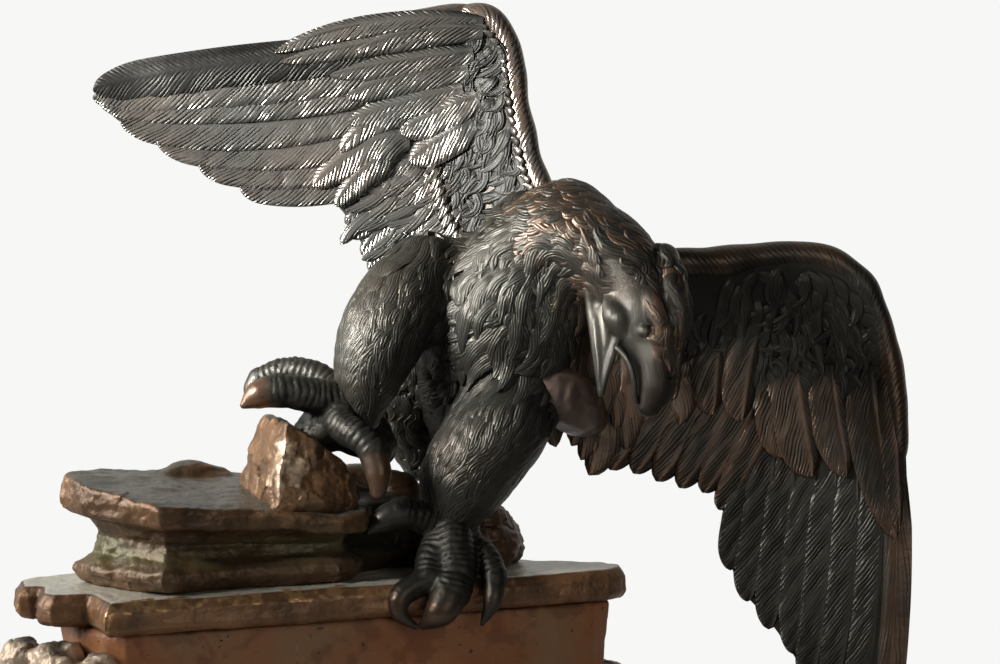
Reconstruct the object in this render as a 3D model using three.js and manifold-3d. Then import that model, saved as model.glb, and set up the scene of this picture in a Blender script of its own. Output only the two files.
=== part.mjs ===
// A cast bronze statuette: an eagle with raised wings, bowed head and open beak, landing on a rocky
// plinth. Millimetres, +Z up. The origin is the middle of the plinth's underside, and +X runs along the
// plinth's front edge, which faces -Y. The eagle is set diagonally on the plinth: it is modelled in its
// own group, whose own frame has +X to the eagle's left, -Y towards where its chest faces, and the same
// origin.
import * as THREE from "three";
import { mergeVertices } from "three/addons/utils/BufferGeometryUtils.js";
import Module from "manifold-3d";

const wasm = await Module();
wasm.setup();

// Driving dimensions.
const EAGLE_TURN = -22; // degrees about Z, from the plinth's front to the eagle's
const GAP = 0.3; // between castings that meet
const FELT = 1.5;
const COVER = 2;
const GROUND_TOP = 18;
const SLAB_BOTTOM = 87;
const SLAB_TOP = 100;
const LEDGE_TOP = 138; // over the middle of the plinth
const LEDGE_RISE = 0.12; // of its top towards the back, per millimetre
const KNOB_TOP = 164;
const WALL = 5; // of the hollow torso and the hollow plinth
const STUD_R = 2.5;
const STUD_CLEARANCE = 0.3;
const WASHER_R = 6.5;
const WASHER_T = 1;
const NUT_R = 5;
const NUT_T = 4;
const SCREW_R = 1.5;
const SCREW_HEAD_R = 3;
const SCREW_HEAD_T = 2;
const WING_SKIN = 3.2; // thickness of a wing's trailing edge
const WING_ARM = 9; // thickness along a wing's leading edge at the shoulder

// Materials.
const metal = (color, roughness) => new THREE.MeshStandardMaterial({ color, roughness, metalness: 0.85 });
const darkBronze = metal(0x2a2522, 0.38);
const wornBronze = metal(0x5a4636, 0.35);
const rockBronze = metal(0x5b4434, 0.5);
const greenBronze = metal(0x4c4a30, 0.55);
const redPaint = new THREE.MeshStandardMaterial({ color: 0x6d3a26, roughness: 0.6, metalness: 0.1 });
const steel = metal(0x8d8f92, 0.4);
const felt = new THREE.MeshStandardMaterial({ color: 0x2c3b2d, roughness: 0.95, metalness: 0 });

const v = (x, y, z) => new THREE.Vector3(x, y, z);

// ---- Solids ----

// A closed geometry as a manifold-3d solid whose faces point out.
function solid(geometry) {
  const bare = geometry.clone();
  bare.deleteAttribute("normal");
  bare.deleteAttribute("uv");
  const merged = mergeVertices(bare, 1e-4);
  const vertProperties = merged.attributes.position.array;
  const build = (triVerts) => new wasm.Manifold(new wasm.Mesh({ numProp: 3, vertProperties, triVerts }));
  const triangles = new Uint32Array(merged.index.array);
  const made = build(triangles);
  return made.volume() > 0 ? made : build(triangles.reverse());
}

// A manifold-3d solid as a geometry with flat-shaded faces.
function geometryOf(made) {
  const { numProp, numVert, vertProperties, triVerts } = made.getMesh();
  const position = new Float32Array(numVert * 3);
  for (let i = 0; i < numVert; i++) {
    position.set(vertProperties.subarray(i * numProp, i * numProp + 3), i * 3);
  }
  const geometry = new THREE.BufferGeometry();
  geometry.setAttribute("position", new THREE.BufferAttribute(position, 3));
  geometry.setIndex(new THREE.BufferAttribute(triVerts, 1));
  geometry.computeVertexNormals();
  return geometry;
}

// Only the largest body of a solid: a cut can leave slivers beside it.
function largest(made) {
  return made.decompose().reduce((a, b) => (a.volume() > b.volume() ? a : b));
}

const union = (solids) => solids.reduce((a, b) => a.add(b));

// The value at t, from 0 to 1, of evenly spaced values.
function along(values, t) {
  const place = t * (values.length - 1);
  const i = Math.min(values.length - 2, Math.floor(place));
  return THREE.MathUtils.lerp(values[i], values[i + 1], place - i);
}

// A rounded limb along a smooth path: a sphere stretched along it, with the given radii from end to end.
// depthShare is its thickness across the path as a share of its width, a lower blunt fills out its ends,
// and grow is added to each radius.
function limb(path, radii, { around = 12, rings = 12, depthShare = 1, blunt = 0.5, grow = 0 } = {}) {
  const curve = new THREE.CatmullRomCurve3(path.map((p) => v(...p)));
  const geometry = new THREE.SphereGeometry(1, around, rings);
  const position = geometry.attributes.position;
  const depthAxis = v(0, 1, 0);
  for (let i = 0; i < position.count; i++) {
    const [x, y, z] = [position.getX(i), position.getY(i), position.getZ(i)];
    const t = Math.acos(THREE.MathUtils.clamp(y, -1, 1)) / Math.PI;
    const ring = Math.hypot(x, z);
    const angle = Math.atan2(z, x);
    const radius = (along(radii, t) + grow) * ring ** blunt * (ring > 1e-6 ? 1 : 0);
    const tangent = curve.getTangentAt(t);
    const across = depthAxis.clone().cross(tangent);
    if (across.length() < 0.2) across.set(1, 0, 0);
    across.normalize();
    const through = tangent.clone().cross(across).normalize();
    const point = curve.getPointAt(t);
    point.addScaledVector(tangent, (t < 0.5 ? -grow : grow) * (ring < 1e-6 ? 1 : 0));
    point.addScaledVector(across, Math.cos(angle) * radius);
    point.addScaledVector(through, Math.sin(angle) * radius * depthShare);
    position.setXYZ(i, point.x, point.y, point.z);
  }
  return solid(geometry);
}

// A plate ruled between a leading and a trailing curve, thick along the first and thin along the second.
function ruledPlate(lead, trail, { spans = 18, chords = 5, thick, thin, belly = 0 }) {
  const leadCurve = new THREE.CatmullRomCurve3(lead.map((p) => v(...p)));
  const trailCurve = new THREE.CatmullRomCurve3(trail.map((p) => v(...p)));
  const geometry = new THREE.BoxGeometry(1, 1, 1, spans, 1, chords);
  const position = geometry.attributes.position;
  for (let i = 0; i < position.count; i++) {
    const s = position.getX(i) + 0.5;
    const c = position.getZ(i) + 0.5;
    const side = position.getY(i) * 2;
    const point = leadCurve.getPointAt(s).lerp(trailCurve.getPointAt(s), c);
    const taper = THREE.MathUtils.lerp(thick, thin, Math.min(1, s * 1.2));
    const half = THREE.MathUtils.lerp(taper, thin, Math.sqrt(c)) / 2;
    point.y += side * half + belly * Math.sin(Math.PI * c);
    position.setXYZ(i, point.x, point.y, point.z);
  }
  return solid(geometry);
}

// A block of stone: a plan outline, counterclockwise from above, repeated at levels [z, inset].
function stone(outline, levels) {
  const sides = outline.length;
  const centre = outline.reduce((sum, p) => [sum[0] + p[0] / sides, sum[1] + p[1] / sides], [0, 0]);
  const geometry = new THREE.CylinderGeometry(1, 1, 1, sides, levels.length - 1);
  const position = geometry.attributes.position;
  for (let i = 0; i < position.count; i++) {
    const [x, y, z] = [position.getX(i), position.getY(i), position.getZ(i)];
    const corner = Math.round((Math.atan2(x, z) / (2 * Math.PI)) * sides + sides) % sides;
    const [height, inset] = levels[Math.round((y + 0.5) * (levels.length - 1))];
    const edge = Math.hypot(x, z) > 0.5 ? outline[corner] : centre;
    const reach = Math.hypot(edge[0] - centre[0], edge[1] - centre[1]);
    const share = reach > 0 ? (reach - inset) / reach : 0;
    position.setXYZ(
      i,
      centre[0] + (edge[0] - centre[0]) * share,
      centre[1] + (edge[1] - centre[1]) * share,
      height,
    );
  }
  return solid(geometry);
}

// A boulder: a ball with few faces, stretched to half-sizes and set at a centre.
function boulder(centre, halfSizes, turn = 0) {
  const geometry = new THREE.IcosahedronGeometry(1, 1);
  geometry.scale(...halfSizes);
  geometry.rotateZ(turn);
  geometry.translate(...centre);
  return solid(geometry);
}

// A round bar between two points.
function bar(from, to, radius, sides = 16) {
  const [a, b] = [v(...from), v(...to)];
  const geometry = new THREE.CylinderGeometry(radius, radius, a.distanceTo(b), sides);
  const turn = new THREE.Quaternion().setFromUnitVectors(v(0, 1, 0), b.clone().sub(a).normalize());
  geometry.applyQuaternion(turn);
  geometry.translate(...a.add(b).multiplyScalar(0.5));
  return solid(geometry);
}

function box(low, high) {
  const geometry = new THREE.BoxGeometry(high[0] - low[0], high[1] - low[1], high[2] - low[2]);
  geometry.translate((low[0] + high[0]) / 2, (low[1] + high[1]) / 2, (low[2] + high[2]) / 2);
  return solid(geometry);
}

// A ring or hexagon round a bar that runs from a towards b: a washer with 20 sides or a nut with 6.
function collar(a, b, outer, inner, thickness, sides) {
  const direction = v(...b).sub(v(...a)).normalize();
  const end = v(...a).addScaledVector(direction, thickness);
  const past = direction.clone().multiplyScalar(1);
  const hole = bar(v(...a).sub(past).toArray(), end.clone().add(past).toArray(), inner);
  return bar(a, end.toArray(), outer, sides).subtract(hole);
}

// A screw with a round head, its shank running from the head's underside to the tip.
function screw(head, tip) {
  const direction = v(...tip).sub(v(...head)).normalize();
  const top = v(...head).addScaledVector(direction, -SCREW_HEAD_T).toArray();
  const inHead = v(...head).addScaledVector(direction, -SCREW_HEAD_T / 2).toArray();
  return bar(top, head, SCREW_HEAD_R).add(bar(inHead, tip, SCREW_R, 12));
}

const holeFor = (head, tip, clearance = 0.2) => bar(head, tip, SCREW_R + clearance, 12);

// ---- The scene graph ----

const statuette = new THREE.Group();
const eagle = new THREE.Group();
eagle.rotation.z = THREE.MathUtils.degToRad(EAGLE_TURN);
statuette.add(eagle);

function place(group, name, made, material) {
  const mesh = new THREE.Mesh(geometryOf(made), material);
  mesh.name = name;
  group.add(mesh);
}

const onPlinth = (made) => made.rotate([0, 0, EAGLE_TURN]); // from the eagle's group to the plinth's frame

// ---- Eagle: torso ----

const TORSO_PATH = [[87, -1, 240], [75, 4, 222], [63, 9, 200], [52, 17, 176], [46, 27, 156]];
const TORSO_RADII = [17, 27, 32, 26, 14];
const torsoForm = (grow) =>
  limb(TORSO_PATH, TORSO_RADII, { around: 20, rings: 16, depthShare: 0.86, grow });
const torsoOuter = torsoForm(0);
const torsoKeepOut = torsoForm(GAP);
const torsoCavity = torsoForm(-WALL);

// Where each casting's stud or spigot enters the torso, from inside the casting to inside the cavity.
const STUDS = {
  wing_right: { from: [44, 18, 228], to: [66, 16, 214] },
  wing_left: { from: [111, 22, 206], to: [80, 14, 198] },
  thigh_right: { from: [24, 0, 202], to: [52, 9, 192] },
  thigh_left: { from: [78, -6, 164], to: [58, 8, 186] },
};
const NECK_SPIGOT = { from: [98, -8, 232], to: [79, 2, 229], radius: 10 };
const TAIL_SPIGOT = { from: [43, 52, 158], to: [50, 24, 166], radius: 9 };

// The point at a share of the way along a stud.
const onStud = ({ from, to }, share) => v(...from).lerp(v(...to), share).toArray();

// A flat seat inside the cavity, against which a stud's washer and nut bear, and the hole for the stud.
const NUT_SHARE = 0.62; // of the way from a stud's root to its end

function seat(stud) {
  return bar(onStud(stud, 0.2), onStud(stud, NUT_SHARE), WASHER_R + 1).intersect(torsoOuter);
}

let torso = torsoOuter.subtract(torsoCavity);
for (const stud of Object.values(STUDS)) torso = torso.add(seat(stud));
for (const stud of Object.values(STUDS)) {
  torso = torso.subtract(bar(onStud(stud, -0.3), stud.to, STUD_R + STUD_CLEARANCE));
  torso = torso.subtract(bar(onStud(stud, NUT_SHARE), stud.to, WASHER_R + 0.5));
}
for (const spigot of [NECK_SPIGOT, TAIL_SPIGOT]) {
  torso = torso.subtract(bar(spigot.from, spigot.to, spigot.radius + GAP));
}
const TAIL_SCREW = { head: [49, 33, 145], tip: [46.5, 38, 164] };
const NECK_PIN = { head: [75, -25, 231], tip: [97, 19, 231] };

// ---- Eagle: neck, head and beak ----

const NECK_PATH = [[84, -4, 235], [93, -8, 233], [105, -14, 225], [113, -20, 212]];
const NECK_RADII = [17, 18, 17.5, 14];
const HEAD_PATH = [[110, -18, 216], [115.5, -23, 204], [117, -25, 193], [119, -27, 186]];
const HEAD_RADII = [14, 15, 11, 8];
const HACKLES = [[127, -19, 224], [130, -22, 210], [130, -24, 198], [126, -26, 187]];
const HACKLES_RADII = [6, 7, 6.5, 2.5];
const UPPER_BEAK = [[117, -26, 193], [120, -28, 182], [120, -29, 172], [117, -29, 166.5]];
const UPPER_BEAK_RADII = [7, 7, 5.5, 2.5];
const LOWER_BEAK = [[101, -23, 210], [100, -26, 198], [100.5, -28, 185], [99.7, -29, 173.5]];
const LOWER_BEAK_RADII = [5, 4.6, 3, 1];

const headForm = (grow) =>
  limb(HEAD_PATH, HEAD_RADII, { around: 16, rings: 10, depthShare: 0.9, blunt: 0.4, grow });
let headCasting = union([
  limb(NECK_PATH, NECK_RADII, { around: 18, rings: 14 }),
  headForm(0),
  limb(HACKLES, HACKLES_RADII, { around: 12, rings: 8 }),
  limb(UPPER_BEAK, UPPER_BEAK_RADII, { around: 12, rings: 12, depthShare: 0.75, blunt: 0.35 }),
]).subtract(torsoKeepOut);
headCasting = headCasting.add(bar(NECK_SPIGOT.from, NECK_SPIGOT.to, NECK_SPIGOT.radius));
const lowerBeakForm = (grow) =>
  limb(LOWER_BEAK, LOWER_BEAK_RADII, { around: 12, rings: 10, depthShare: 0.9, grow });
const lowerBeak = largest(lowerBeakForm(0).subtract(headForm(GAP - 2)));
headCasting = headCasting.subtract(lowerBeakForm(GAP));

// The cross pin through the torso's collar and the neck's spigot, and its hole in each.
const pinBar = (radius) => bar(NECK_PIN.head, NECK_PIN.tip, radius, 12);
torso = torso.subtract(pinBar(SCREW_R + 0.2));
headCasting = headCasting.subtract(pinBar(SCREW_R + 0.2));
const neckPin = pinBar(SCREW_R).intersect(torsoForm(-0.2));

// ---- Eagle: wings ----

// Each wing runs from the shoulder over the wrist to the tip of the flight feathers.
const WING_RIGHT_LEAD = [
  [88, 12, 248], [79, 20, 267], [73, 24, 292], [69, 27, 316], [56, 28, 330], [30, 26, 328.5],
  [-8, 22, 318], [-40, 16, 310], [-70, 10, 306], [-95, 4, 303],
];
const WING_RIGHT_TRAIL = [
  [34, 18, 204], [12, 22, 211], [-1, 22, 230], [-10, 21, 243], [-28, 19, 247], [-48, 15, 254],
  [-68, 10, 262], [-87, 5, 273], [-99, 2, 284], [-103, 1, 292],
];
const WING_LEFT_LEAD = [
  [104, 12, 238], [134, 20, 231], [152, 27, 230], [180, 34, 233], [202, 37, 230], [219, 37, 214],
  [229, 35, 178], [232, 31, 140], [231, 26, 96], [227, 22, 56], [218, 18, 26],
];
const WING_LEFT_TRAIL = [
  [82, 16, 158], [94, 20, 147], [104, 22, 138], [126, 24, 133], [148, 27, 127], [150, 27, 108],
  [156, 26, 86], [170, 24, 70], [184, 21, 50], [197, 18, 24], [207, 16, 14],
];

function wing(lead, trail, stud, belly) {
  const plate = ruledPlate(lead, trail, { spans: 20, chords: 5, thick: WING_ARM, thin: WING_SKIN, belly });
  const root = bar(onStud(stud, -0.05), onStud(stud, 0.3), 8);
  const nutRoom = bar(onStud(stud, NUT_SHARE - 0.1), stud.to, WASHER_R + 0.5);
  const shape = plate.add(root).subtract(torsoKeepOut).subtract(nutRoom);
  return shape.add(bar(onStud(stud, 0), stud.to, STUD_R));
}

const neckKeepOut = union([
  limb(NECK_PATH, NECK_RADII, { around: 18, rings: 14, grow: GAP }),
  headForm(GAP),
]);
const wingRight = largest(wing(WING_RIGHT_LEAD, WING_RIGHT_TRAIL, STUDS.wing_right, 3).subtract(neckKeepOut));
const wingLeft = largest(wing(WING_LEFT_LEAD, WING_LEFT_TRAIL, STUDS.wing_left, 5).subtract(neckKeepOut));

// ---- Eagle: legs ----

const THIGH_RIGHT = [[30, 6, 221], [20, -3, 206], [12, -9, 190], [8, -12, 176], [7, -13, 164]];
const THIGH_RIGHT_RADII = [15, 18, 18, 14, 7];
const THIGH_LEFT = [[74, 8, 178], [64, -2, 163], [53, -8, 148], [45, -10, 135], [42, -11, 124]];
const THIGH_LEFT_RADII = [16, 20, 20, 19, 11];
const thighForm = (path, radii, grow = 0) => limb(path, radii, { around: 14, rings: 12, blunt: 0.45, grow });

// A foot: the pad under the tarsus, then each toe, with its knuckles, and its claw.
const FOOT_RIGHT = {
  pad: { path: [[2, -10, 170], [-5, -9, 162], [-13, -9, 153]], radii: [8, 11, 9] },
  toes: [
    { path: [[0, -13, 170], [-12, -18, 173], [-22, -21, 176], [-29, -22, 176]], size: 1.2,
      claw: [[-26, -22, 176], [-33, -24, 174], [-38, -26, 170]] },
    { path: [[-2, -6, 172], [-14, -2, 180], [-26, 0, 181], [-35, 0, 178]], size: 1,
      claw: [[-32, 0, 179], [-38, -1, 175], [-40, -2, 169]] },
    { path: [[-2, -14, 168], [-1, -22, 161], [6, -28, 157], [12, -31, 153]], size: 1,
      claw: [[11, -31, 154], [16, -34, 145], [15, -34, 133]] },
    {
      path: [[0, -6, 166], [6, 2, 163], [12, 8, 156]],
      size: 0.9,
      claw: [[11, 7, 157], [16, 11, 148], [13, 10, 140]],
    },
  ],
};
const FOOT_LEFT = {
  pad: { path: [[45, -11, 124], [44, -11, 112], [47, -8, 104]], radii: [8, 9, 8] },
  toes: [
    { path: [[41, -16, 120], [43, -22, 111], [44, -27, 103], [43, -31, 96]], size: 1.35,
      claw: [[42, -31, 98], [38, -36, 90], [31, -35, 84]] },
    { path: [[38, -15, 116], [35, -22, 109], [33, -29, 102]], size: 1.1,
      claw: [[33, -29, 101], [23, -34, 96], [22, -36, 89], [28, -34, 83.5]] },
    { path: [[47, -12, 114], [55, -18, 108], [59, -25, 101]], size: 0.9,
      claw: [[59, -25, 102], [58, -30, 93], [54, -31, 84]] },
    { path: [[41, -11, 119], [33, -14, 121], [27, -17, 124], [22, -19, 125]], size: 1,
      claw: [[24, -19, 125], [16, -22, 124], [10, -23, 120]] },
  ],
};
const TOE_RADII = [6.4, 6.8, 6.6, 5.6];
const CLAW_RADII = [5, 4, 0.9];

function foot({ pad, toes }, grow = 0) {
  const pieces = [limb(pad.path, pad.radii, { around: 10, rings: 6, grow })];
  for (const { path, claw, size } of toes) {
    const scaled = (radii) => radii.map((r) => r * size);
    pieces.push(limb(path, scaled(TOE_RADII), { around: 10, rings: 8, blunt: 0.35, grow }));
    pieces.push(limb(claw, scaled(CLAW_RADII), { around: 8, rings: 7, blunt: 0.35, grow }));
  }
  return union(pieces);
}

// Each foot has a threaded stud down through the stone, with a washer and nut inside the plinth.
const FOOT_STUDS = {
  right: { x: -9, y: -8, top: 166 },
  left: { x: 46.5, y: -6, top: 114 },
};
const STUD_BOTTOM = 76;
const footStudBar = ({ x, y, top }, radius) => bar([x, y, top], [x, y, STUD_BOTTOM], radius);

const thighRightKeepOut = thighForm(THIGH_RIGHT, THIGH_RIGHT_RADII, GAP);
const thighLeftKeepOut = thighForm(THIGH_LEFT, THIGH_LEFT_RADII, GAP);

function thigh(path, radii, stud, wingToClear) {
  const form = thighForm(path, radii).subtract(torsoKeepOut).subtract(wingToClear);
  return form.add(bar(onStud(stud, -0.1), stud.to, STUD_R));
}

// The wings give way to the thighs, so that thigh and wing meet without touching.
const thighRight = largest(thigh(THIGH_RIGHT, THIGH_RIGHT_RADII, STUDS.thigh_right, neckKeepOut));
const thighLeft = largest(thigh(THIGH_LEFT, THIGH_LEFT_RADII, STUDS.thigh_left, neckKeepOut));
const wingRightClear = largest(wingRight.subtract(thighRightKeepOut));
const wingLeftClear = largest(wingLeft.subtract(thighLeftKeepOut));

const footCasting = (spec, keepOut, stud) =>
  largest(foot(spec).subtract(keepOut)).subtract(footStudBar(stud, STUD_R + STUD_CLEARANCE));
const footRight = largest(footCasting(FOOT_RIGHT, thighRightKeepOut, FOOT_STUDS.right));
const footLeft = largest(footCasting(FOOT_LEFT, thighLeftKeepOut, FOOT_STUDS.left));

// ---- Eagle: tail ----

const TAIL_LEAD = [[64, 30, 164], [68, 56, 156], [66, 80, 147], [58, 96, 141]];
const TAIL_TRAIL = [[32, 30, 164], [17, 54, 156], [9, 76, 147], [13, 93, 141]];

function tailCasting() {
  const leadCurve = new THREE.CatmullRomCurve3(TAIL_LEAD.map((p) => v(...p)));
  const trailCurve = new THREE.CatmullRomCurve3(TAIL_TRAIL.map((p) => v(...p)));
  const geometry = new THREE.BoxGeometry(1, 1, 1, 8, 1, 8);
  const position = geometry.attributes.position;
  const arch = 5;
  for (let i = 0; i < position.count; i++) {
    const s = position.getX(i) + 0.5;
    const c = position.getZ(i) + 0.5;
    const point = leadCurve.getPointAt(s).lerp(trailCurve.getPointAt(s), c);
    const across = Math.sin(Math.PI * c);
    point.z += arch * across + position.getY(i) * THREE.MathUtils.lerp(9, 3, s);
    point.y += 7 * across * s;
    position.setXYZ(i, point.x, point.y, point.z);
  }
  const rumpPath = [[48, 30, 166], [46, 48, 160], [43, 66, 154]];
  const rump = limb(rumpPath, [11, 13, 8], { around: 14, rings: 8, depthShare: 0.8 });
  const spigot = bar(TAIL_SPIGOT.from, TAIL_SPIGOT.to, TAIL_SPIGOT.radius);
  return solid(geometry).add(rump).subtract(torsoKeepOut).add(spigot);
}

const wingKeepOut = wingRightClear.add(wingLeftClear);
let tail = largest(tailCasting().subtract(thighLeftKeepOut).subtract(thighRightKeepOut));
tail = largest(tail.subtract(holeFor(TAIL_SCREW.head, TAIL_SCREW.tip)));
torso = torso.subtract(holeFor(TAIL_SCREW.head, TAIL_SCREW.tip));
torso = largest(torso.subtract(bar([49.8, 31.4, 139], TAIL_SCREW.head, SCREW_HEAD_R + GAP)));
const tailScrew = screw(TAIL_SCREW.head, TAIL_SCREW.tip);
if (tail.intersect(wingKeepOut).volume() > 0) throw new Error("the tail reaches a wing");

place(eagle, "torso", torso, darkBronze);
place(eagle, "neck_and_head", largest(headCasting), darkBronze);
place(eagle, "lower_beak", lowerBeak, darkBronze);
place(eagle, "neck_pin", largest(neckPin), steel);
place(eagle, "wing_right", wingRightClear, darkBronze);
place(eagle, "wing_left", wingLeftClear, darkBronze);
place(eagle, "thigh_right", thighRight, darkBronze);
place(eagle, "thigh_left", thighLeft, darkBronze);
place(eagle, "foot_right", footRight, wornBronze);
place(eagle, "foot_left", footLeft, wornBronze);
place(eagle, "tail", tail, darkBronze);
place(eagle, "tail_screw", tailScrew, steel);

// The washer and nut on each stud inside the torso.
for (const [name, stud] of Object.entries(STUDS)) {
  const washerAt = onStud(stud, NUT_SHARE);
  const length = v(...stud.from).distanceTo(v(...stud.to));
  const nutAt = onStud(stud, NUT_SHARE + WASHER_T / length);
  place(eagle, `${name}_washer`, collar(washerAt, stud.to, WASHER_R, STUD_R + 0.2, WASHER_T, 20), steel);
  place(eagle, `${name}_nut`, collar(nutAt, stud.to, NUT_R, STUD_R + 0.05, NUT_T, 6), steel);
}

// The stud, washer and nut that hold each foot down.
for (const [side, stud] of Object.entries(FOOT_STUDS)) {
  const down = [stud.x, stud.y, STUD_BOTTOM];
  const washerAt = [stud.x, stud.y, SLAB_BOTTOM];
  const nutAt = [stud.x, stud.y, SLAB_BOTTOM - WASHER_T];
  place(eagle, `foot_stud_${side}`, footStudBar(stud, STUD_R), steel);
  place(eagle, `foot_washer_${side}`, collar(washerAt, down, WASHER_R, STUD_R + 0.2, WASHER_T, 20), steel);
  place(eagle, `foot_nut_${side}`, collar(nutAt, down, NUT_R, STUD_R + 0.05, NUT_T, 6), steel);
}

// ---- Plinth ----

const SLAB_PLAN = [
  [-108, -40], [-60, -41], [0, -40], [60, -41], [98, -39], [108, -33], [111, -24], [107, -14],
  [84, -2], [52, 18], [16, 34], [-30, 40], [-80, 41], [-118, 37], [-129, 28], [-131, 12],
  [-124, 8], [-127, -6], [-123, -14], [-110, -17],
];
const BODY_PLAN = [
  [-99, -36], [-48, -37], [0, -36], [50, -37], [92, -36], [102, -31], [102, -21], [82, -6],
  [50, 14], [14, 30], [-30, 36], [-76, 36], [-106, 32], [-114, 14], [-112, -8], [-106, -28],
];
const GROUND_PLAN = [
  [-104, -46], [-50, -48], [0, -46], [52, -48], [94, -44], [112, -36], [116, -20], [98, 0],
  [70, 24], [30, 42], [-26, 48], [-80, 48], [-116, 40], [-128, 16], [-126, -10], [-116, -36],
];
const LEDGE_PLAN = [
  [-86, -36], [-50, -32], [-14, -36], [-3, -31], [4, -16], [22, -8], [30, 0], [18, 18],
  [-12, 31], [-62, 34], [-96, 28], [-112, 14], [-108, -4],
];
const KNOB_PLAN = [
  [-48, -22], [-38, -27], [-22, -26], [-9, -21], [-2, -8], [-8, 8], [-24, 15], [-40, 11],
  [-48, -2],
];

const SLAB_LEVELS = [[SLAB_BOTTOM, 2], [SLAB_BOTTOM + 3, 0], [SLAB_TOP - 4, 0.5], [SLAB_TOP, 3.5]];
const slabForm = stone(SLAB_PLAN, SLAB_LEVELS);
const BODY_LEVELS = [[GROUND_TOP, 0], [30, 1], [52, 3], [70, 2], [SLAB_BOTTOM, 0]];
const bodyOuter = stone(BODY_PLAN, BODY_LEVELS);
const bodyInner = stone(BODY_PLAN, [[GROUND_TOP - 1, WALL + 2], [SLAB_BOTTOM + 1, WALL + 2]]);
const groundOuter = stone(GROUND_PLAN, [[FELT + COVER, 1], [8, 0], [14, 2], [GROUND_TOP, 7]]);
const groundPocket = stone(GROUND_PLAN, [[FELT + COVER - 1, 16], [10, 16]]);
const LEDGE_LEVELS = [
  [SLAB_TOP, 6], [105, 2.5], [108, 3], [112, 9], [118, 11], [123, 8], [126, 0], [131, -1], [144, 2],
];
const grown = (levels) => levels.map(([z, inset]) => [z, inset - GAP]);
const LEDGE_WALL = 7;
const ledgeOuter = stone(LEDGE_PLAN, LEDGE_LEVELS).trimByPlane([0, LEDGE_RISE, -1], -LEDGE_TOP);
const cavityLevels = [[SLAB_TOP - 1, 9], ...LEDGE_LEVELS.slice(1, 7)];
const ledgeCavity = stone(LEDGE_PLAN, cavityLevels.map(([z, inset]) => [z, inset + LEDGE_WALL]));
const onLedge = (made, above) => made.trimByPlane([0, -LEDGE_RISE, 1], LEDGE_TOP + above);
const knobForm = onLedge(stone(KNOB_PLAN, [[128, -3], [140, 1], [148, 2], [156, 4], [KNOB_TOP, 8]]), GAP)
  .trimByPlane([-0.62, 0, -0.78], -108.9); // its top slopes down to the eagle's left
const ledgeHump = boulder([-60, 23, 139], [17, 8, 6], 0.7);
const boulderFront = boulder([56, -8, 112], [15, 12, 15], 0.4);
const boulderForm = boulderFront.add(boulder([64, -2, 108], [10, 11, 10], 1.1));
const aboveSlab = box([-150, -80, SLAB_TOP], [150, 80, 200]);

const LEDGE_SCREWS = [[-82, 12], [-8, 14]];
const BOSS_R = 6;
const bossTo = ([x, y], top) => bar([x, y, SLAB_TOP], [x, y, top], BOSS_R);
const footHole = (stud) => onPlinth(footStudBar(stud, STUD_R + STUD_CLEARANCE));
const footHoles = Object.values(FOOT_STUDS).map(footHole);
const feetKeepOut = onPlinth(foot(FOOT_RIGHT, GAP).add(foot(FOOT_LEFT, GAP)));
const BOULDER_SCREW = [62, -10];
const BOSS_TOP = 128;
const footBoss = onPlinth(bossTo([FOOT_STUDS.right.x, FOOT_STUDS.right.y], BOSS_TOP));
const ledgeBosses = [footBoss, ...LEDGE_SCREWS.map((at) => bossTo(at, BOSS_TOP))];
const ledgeForm = ledgeOuter.add(ledgeHump).subtract(ledgeCavity).add(union(ledgeBosses));
const TIE_RODS = [[-74, 0], [52, -14]];
const TIE_TOP = 96;
const TIE_BOTTOM = 5;
const POCKET_TOP = 10;
const LEDGE_SCREW_TIP = 108;

const fromBelow = ([x, y], head, tip) => [[x, y, head], [x, y, tip]];
const slabCuts = [
  ...footHoles,
  feetKeepOut,
  ...LEDGE_SCREWS.map((at) => holeFor(...fromBelow(at, SLAB_BOTTOM - 1, LEDGE_SCREW_TIP))),
  holeFor(...fromBelow(BOULDER_SCREW, SLAB_BOTTOM - 1, LEDGE_SCREW_TIP)),
  ...TIE_RODS.map(([x, y]) => bar([x, y, SLAB_BOTTOM - 1], [x, y, TIE_TOP + 0.5], STUD_R + STUD_CLEARANCE)),
];
const slab = slabCuts.reduce((made, cut) => made.subtract(cut), slabForm);
const ledge = slabCuts.reduce((made, cut) => made.subtract(cut), ledgeForm);
const knob = [feetKeepOut, ...footHoles].reduce((made, cut) => made.subtract(cut), knobForm);
const ledgeKeepOut = stone(LEDGE_PLAN, grown(LEDGE_LEVELS));
const legsKeepOut = onPlinth(thighLeftKeepOut.add(thighRightKeepOut));
const rearBoulder = [ledgeKeepOut, feetKeepOut, legsKeepOut,
  holeFor(...fromBelow(BOULDER_SCREW, SLAB_BOTTOM - 1, LEDGE_SCREW_TIP))]
  .reduce((made, cut) => made.subtract(cut), boulderForm.intersect(aboveSlab));

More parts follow.
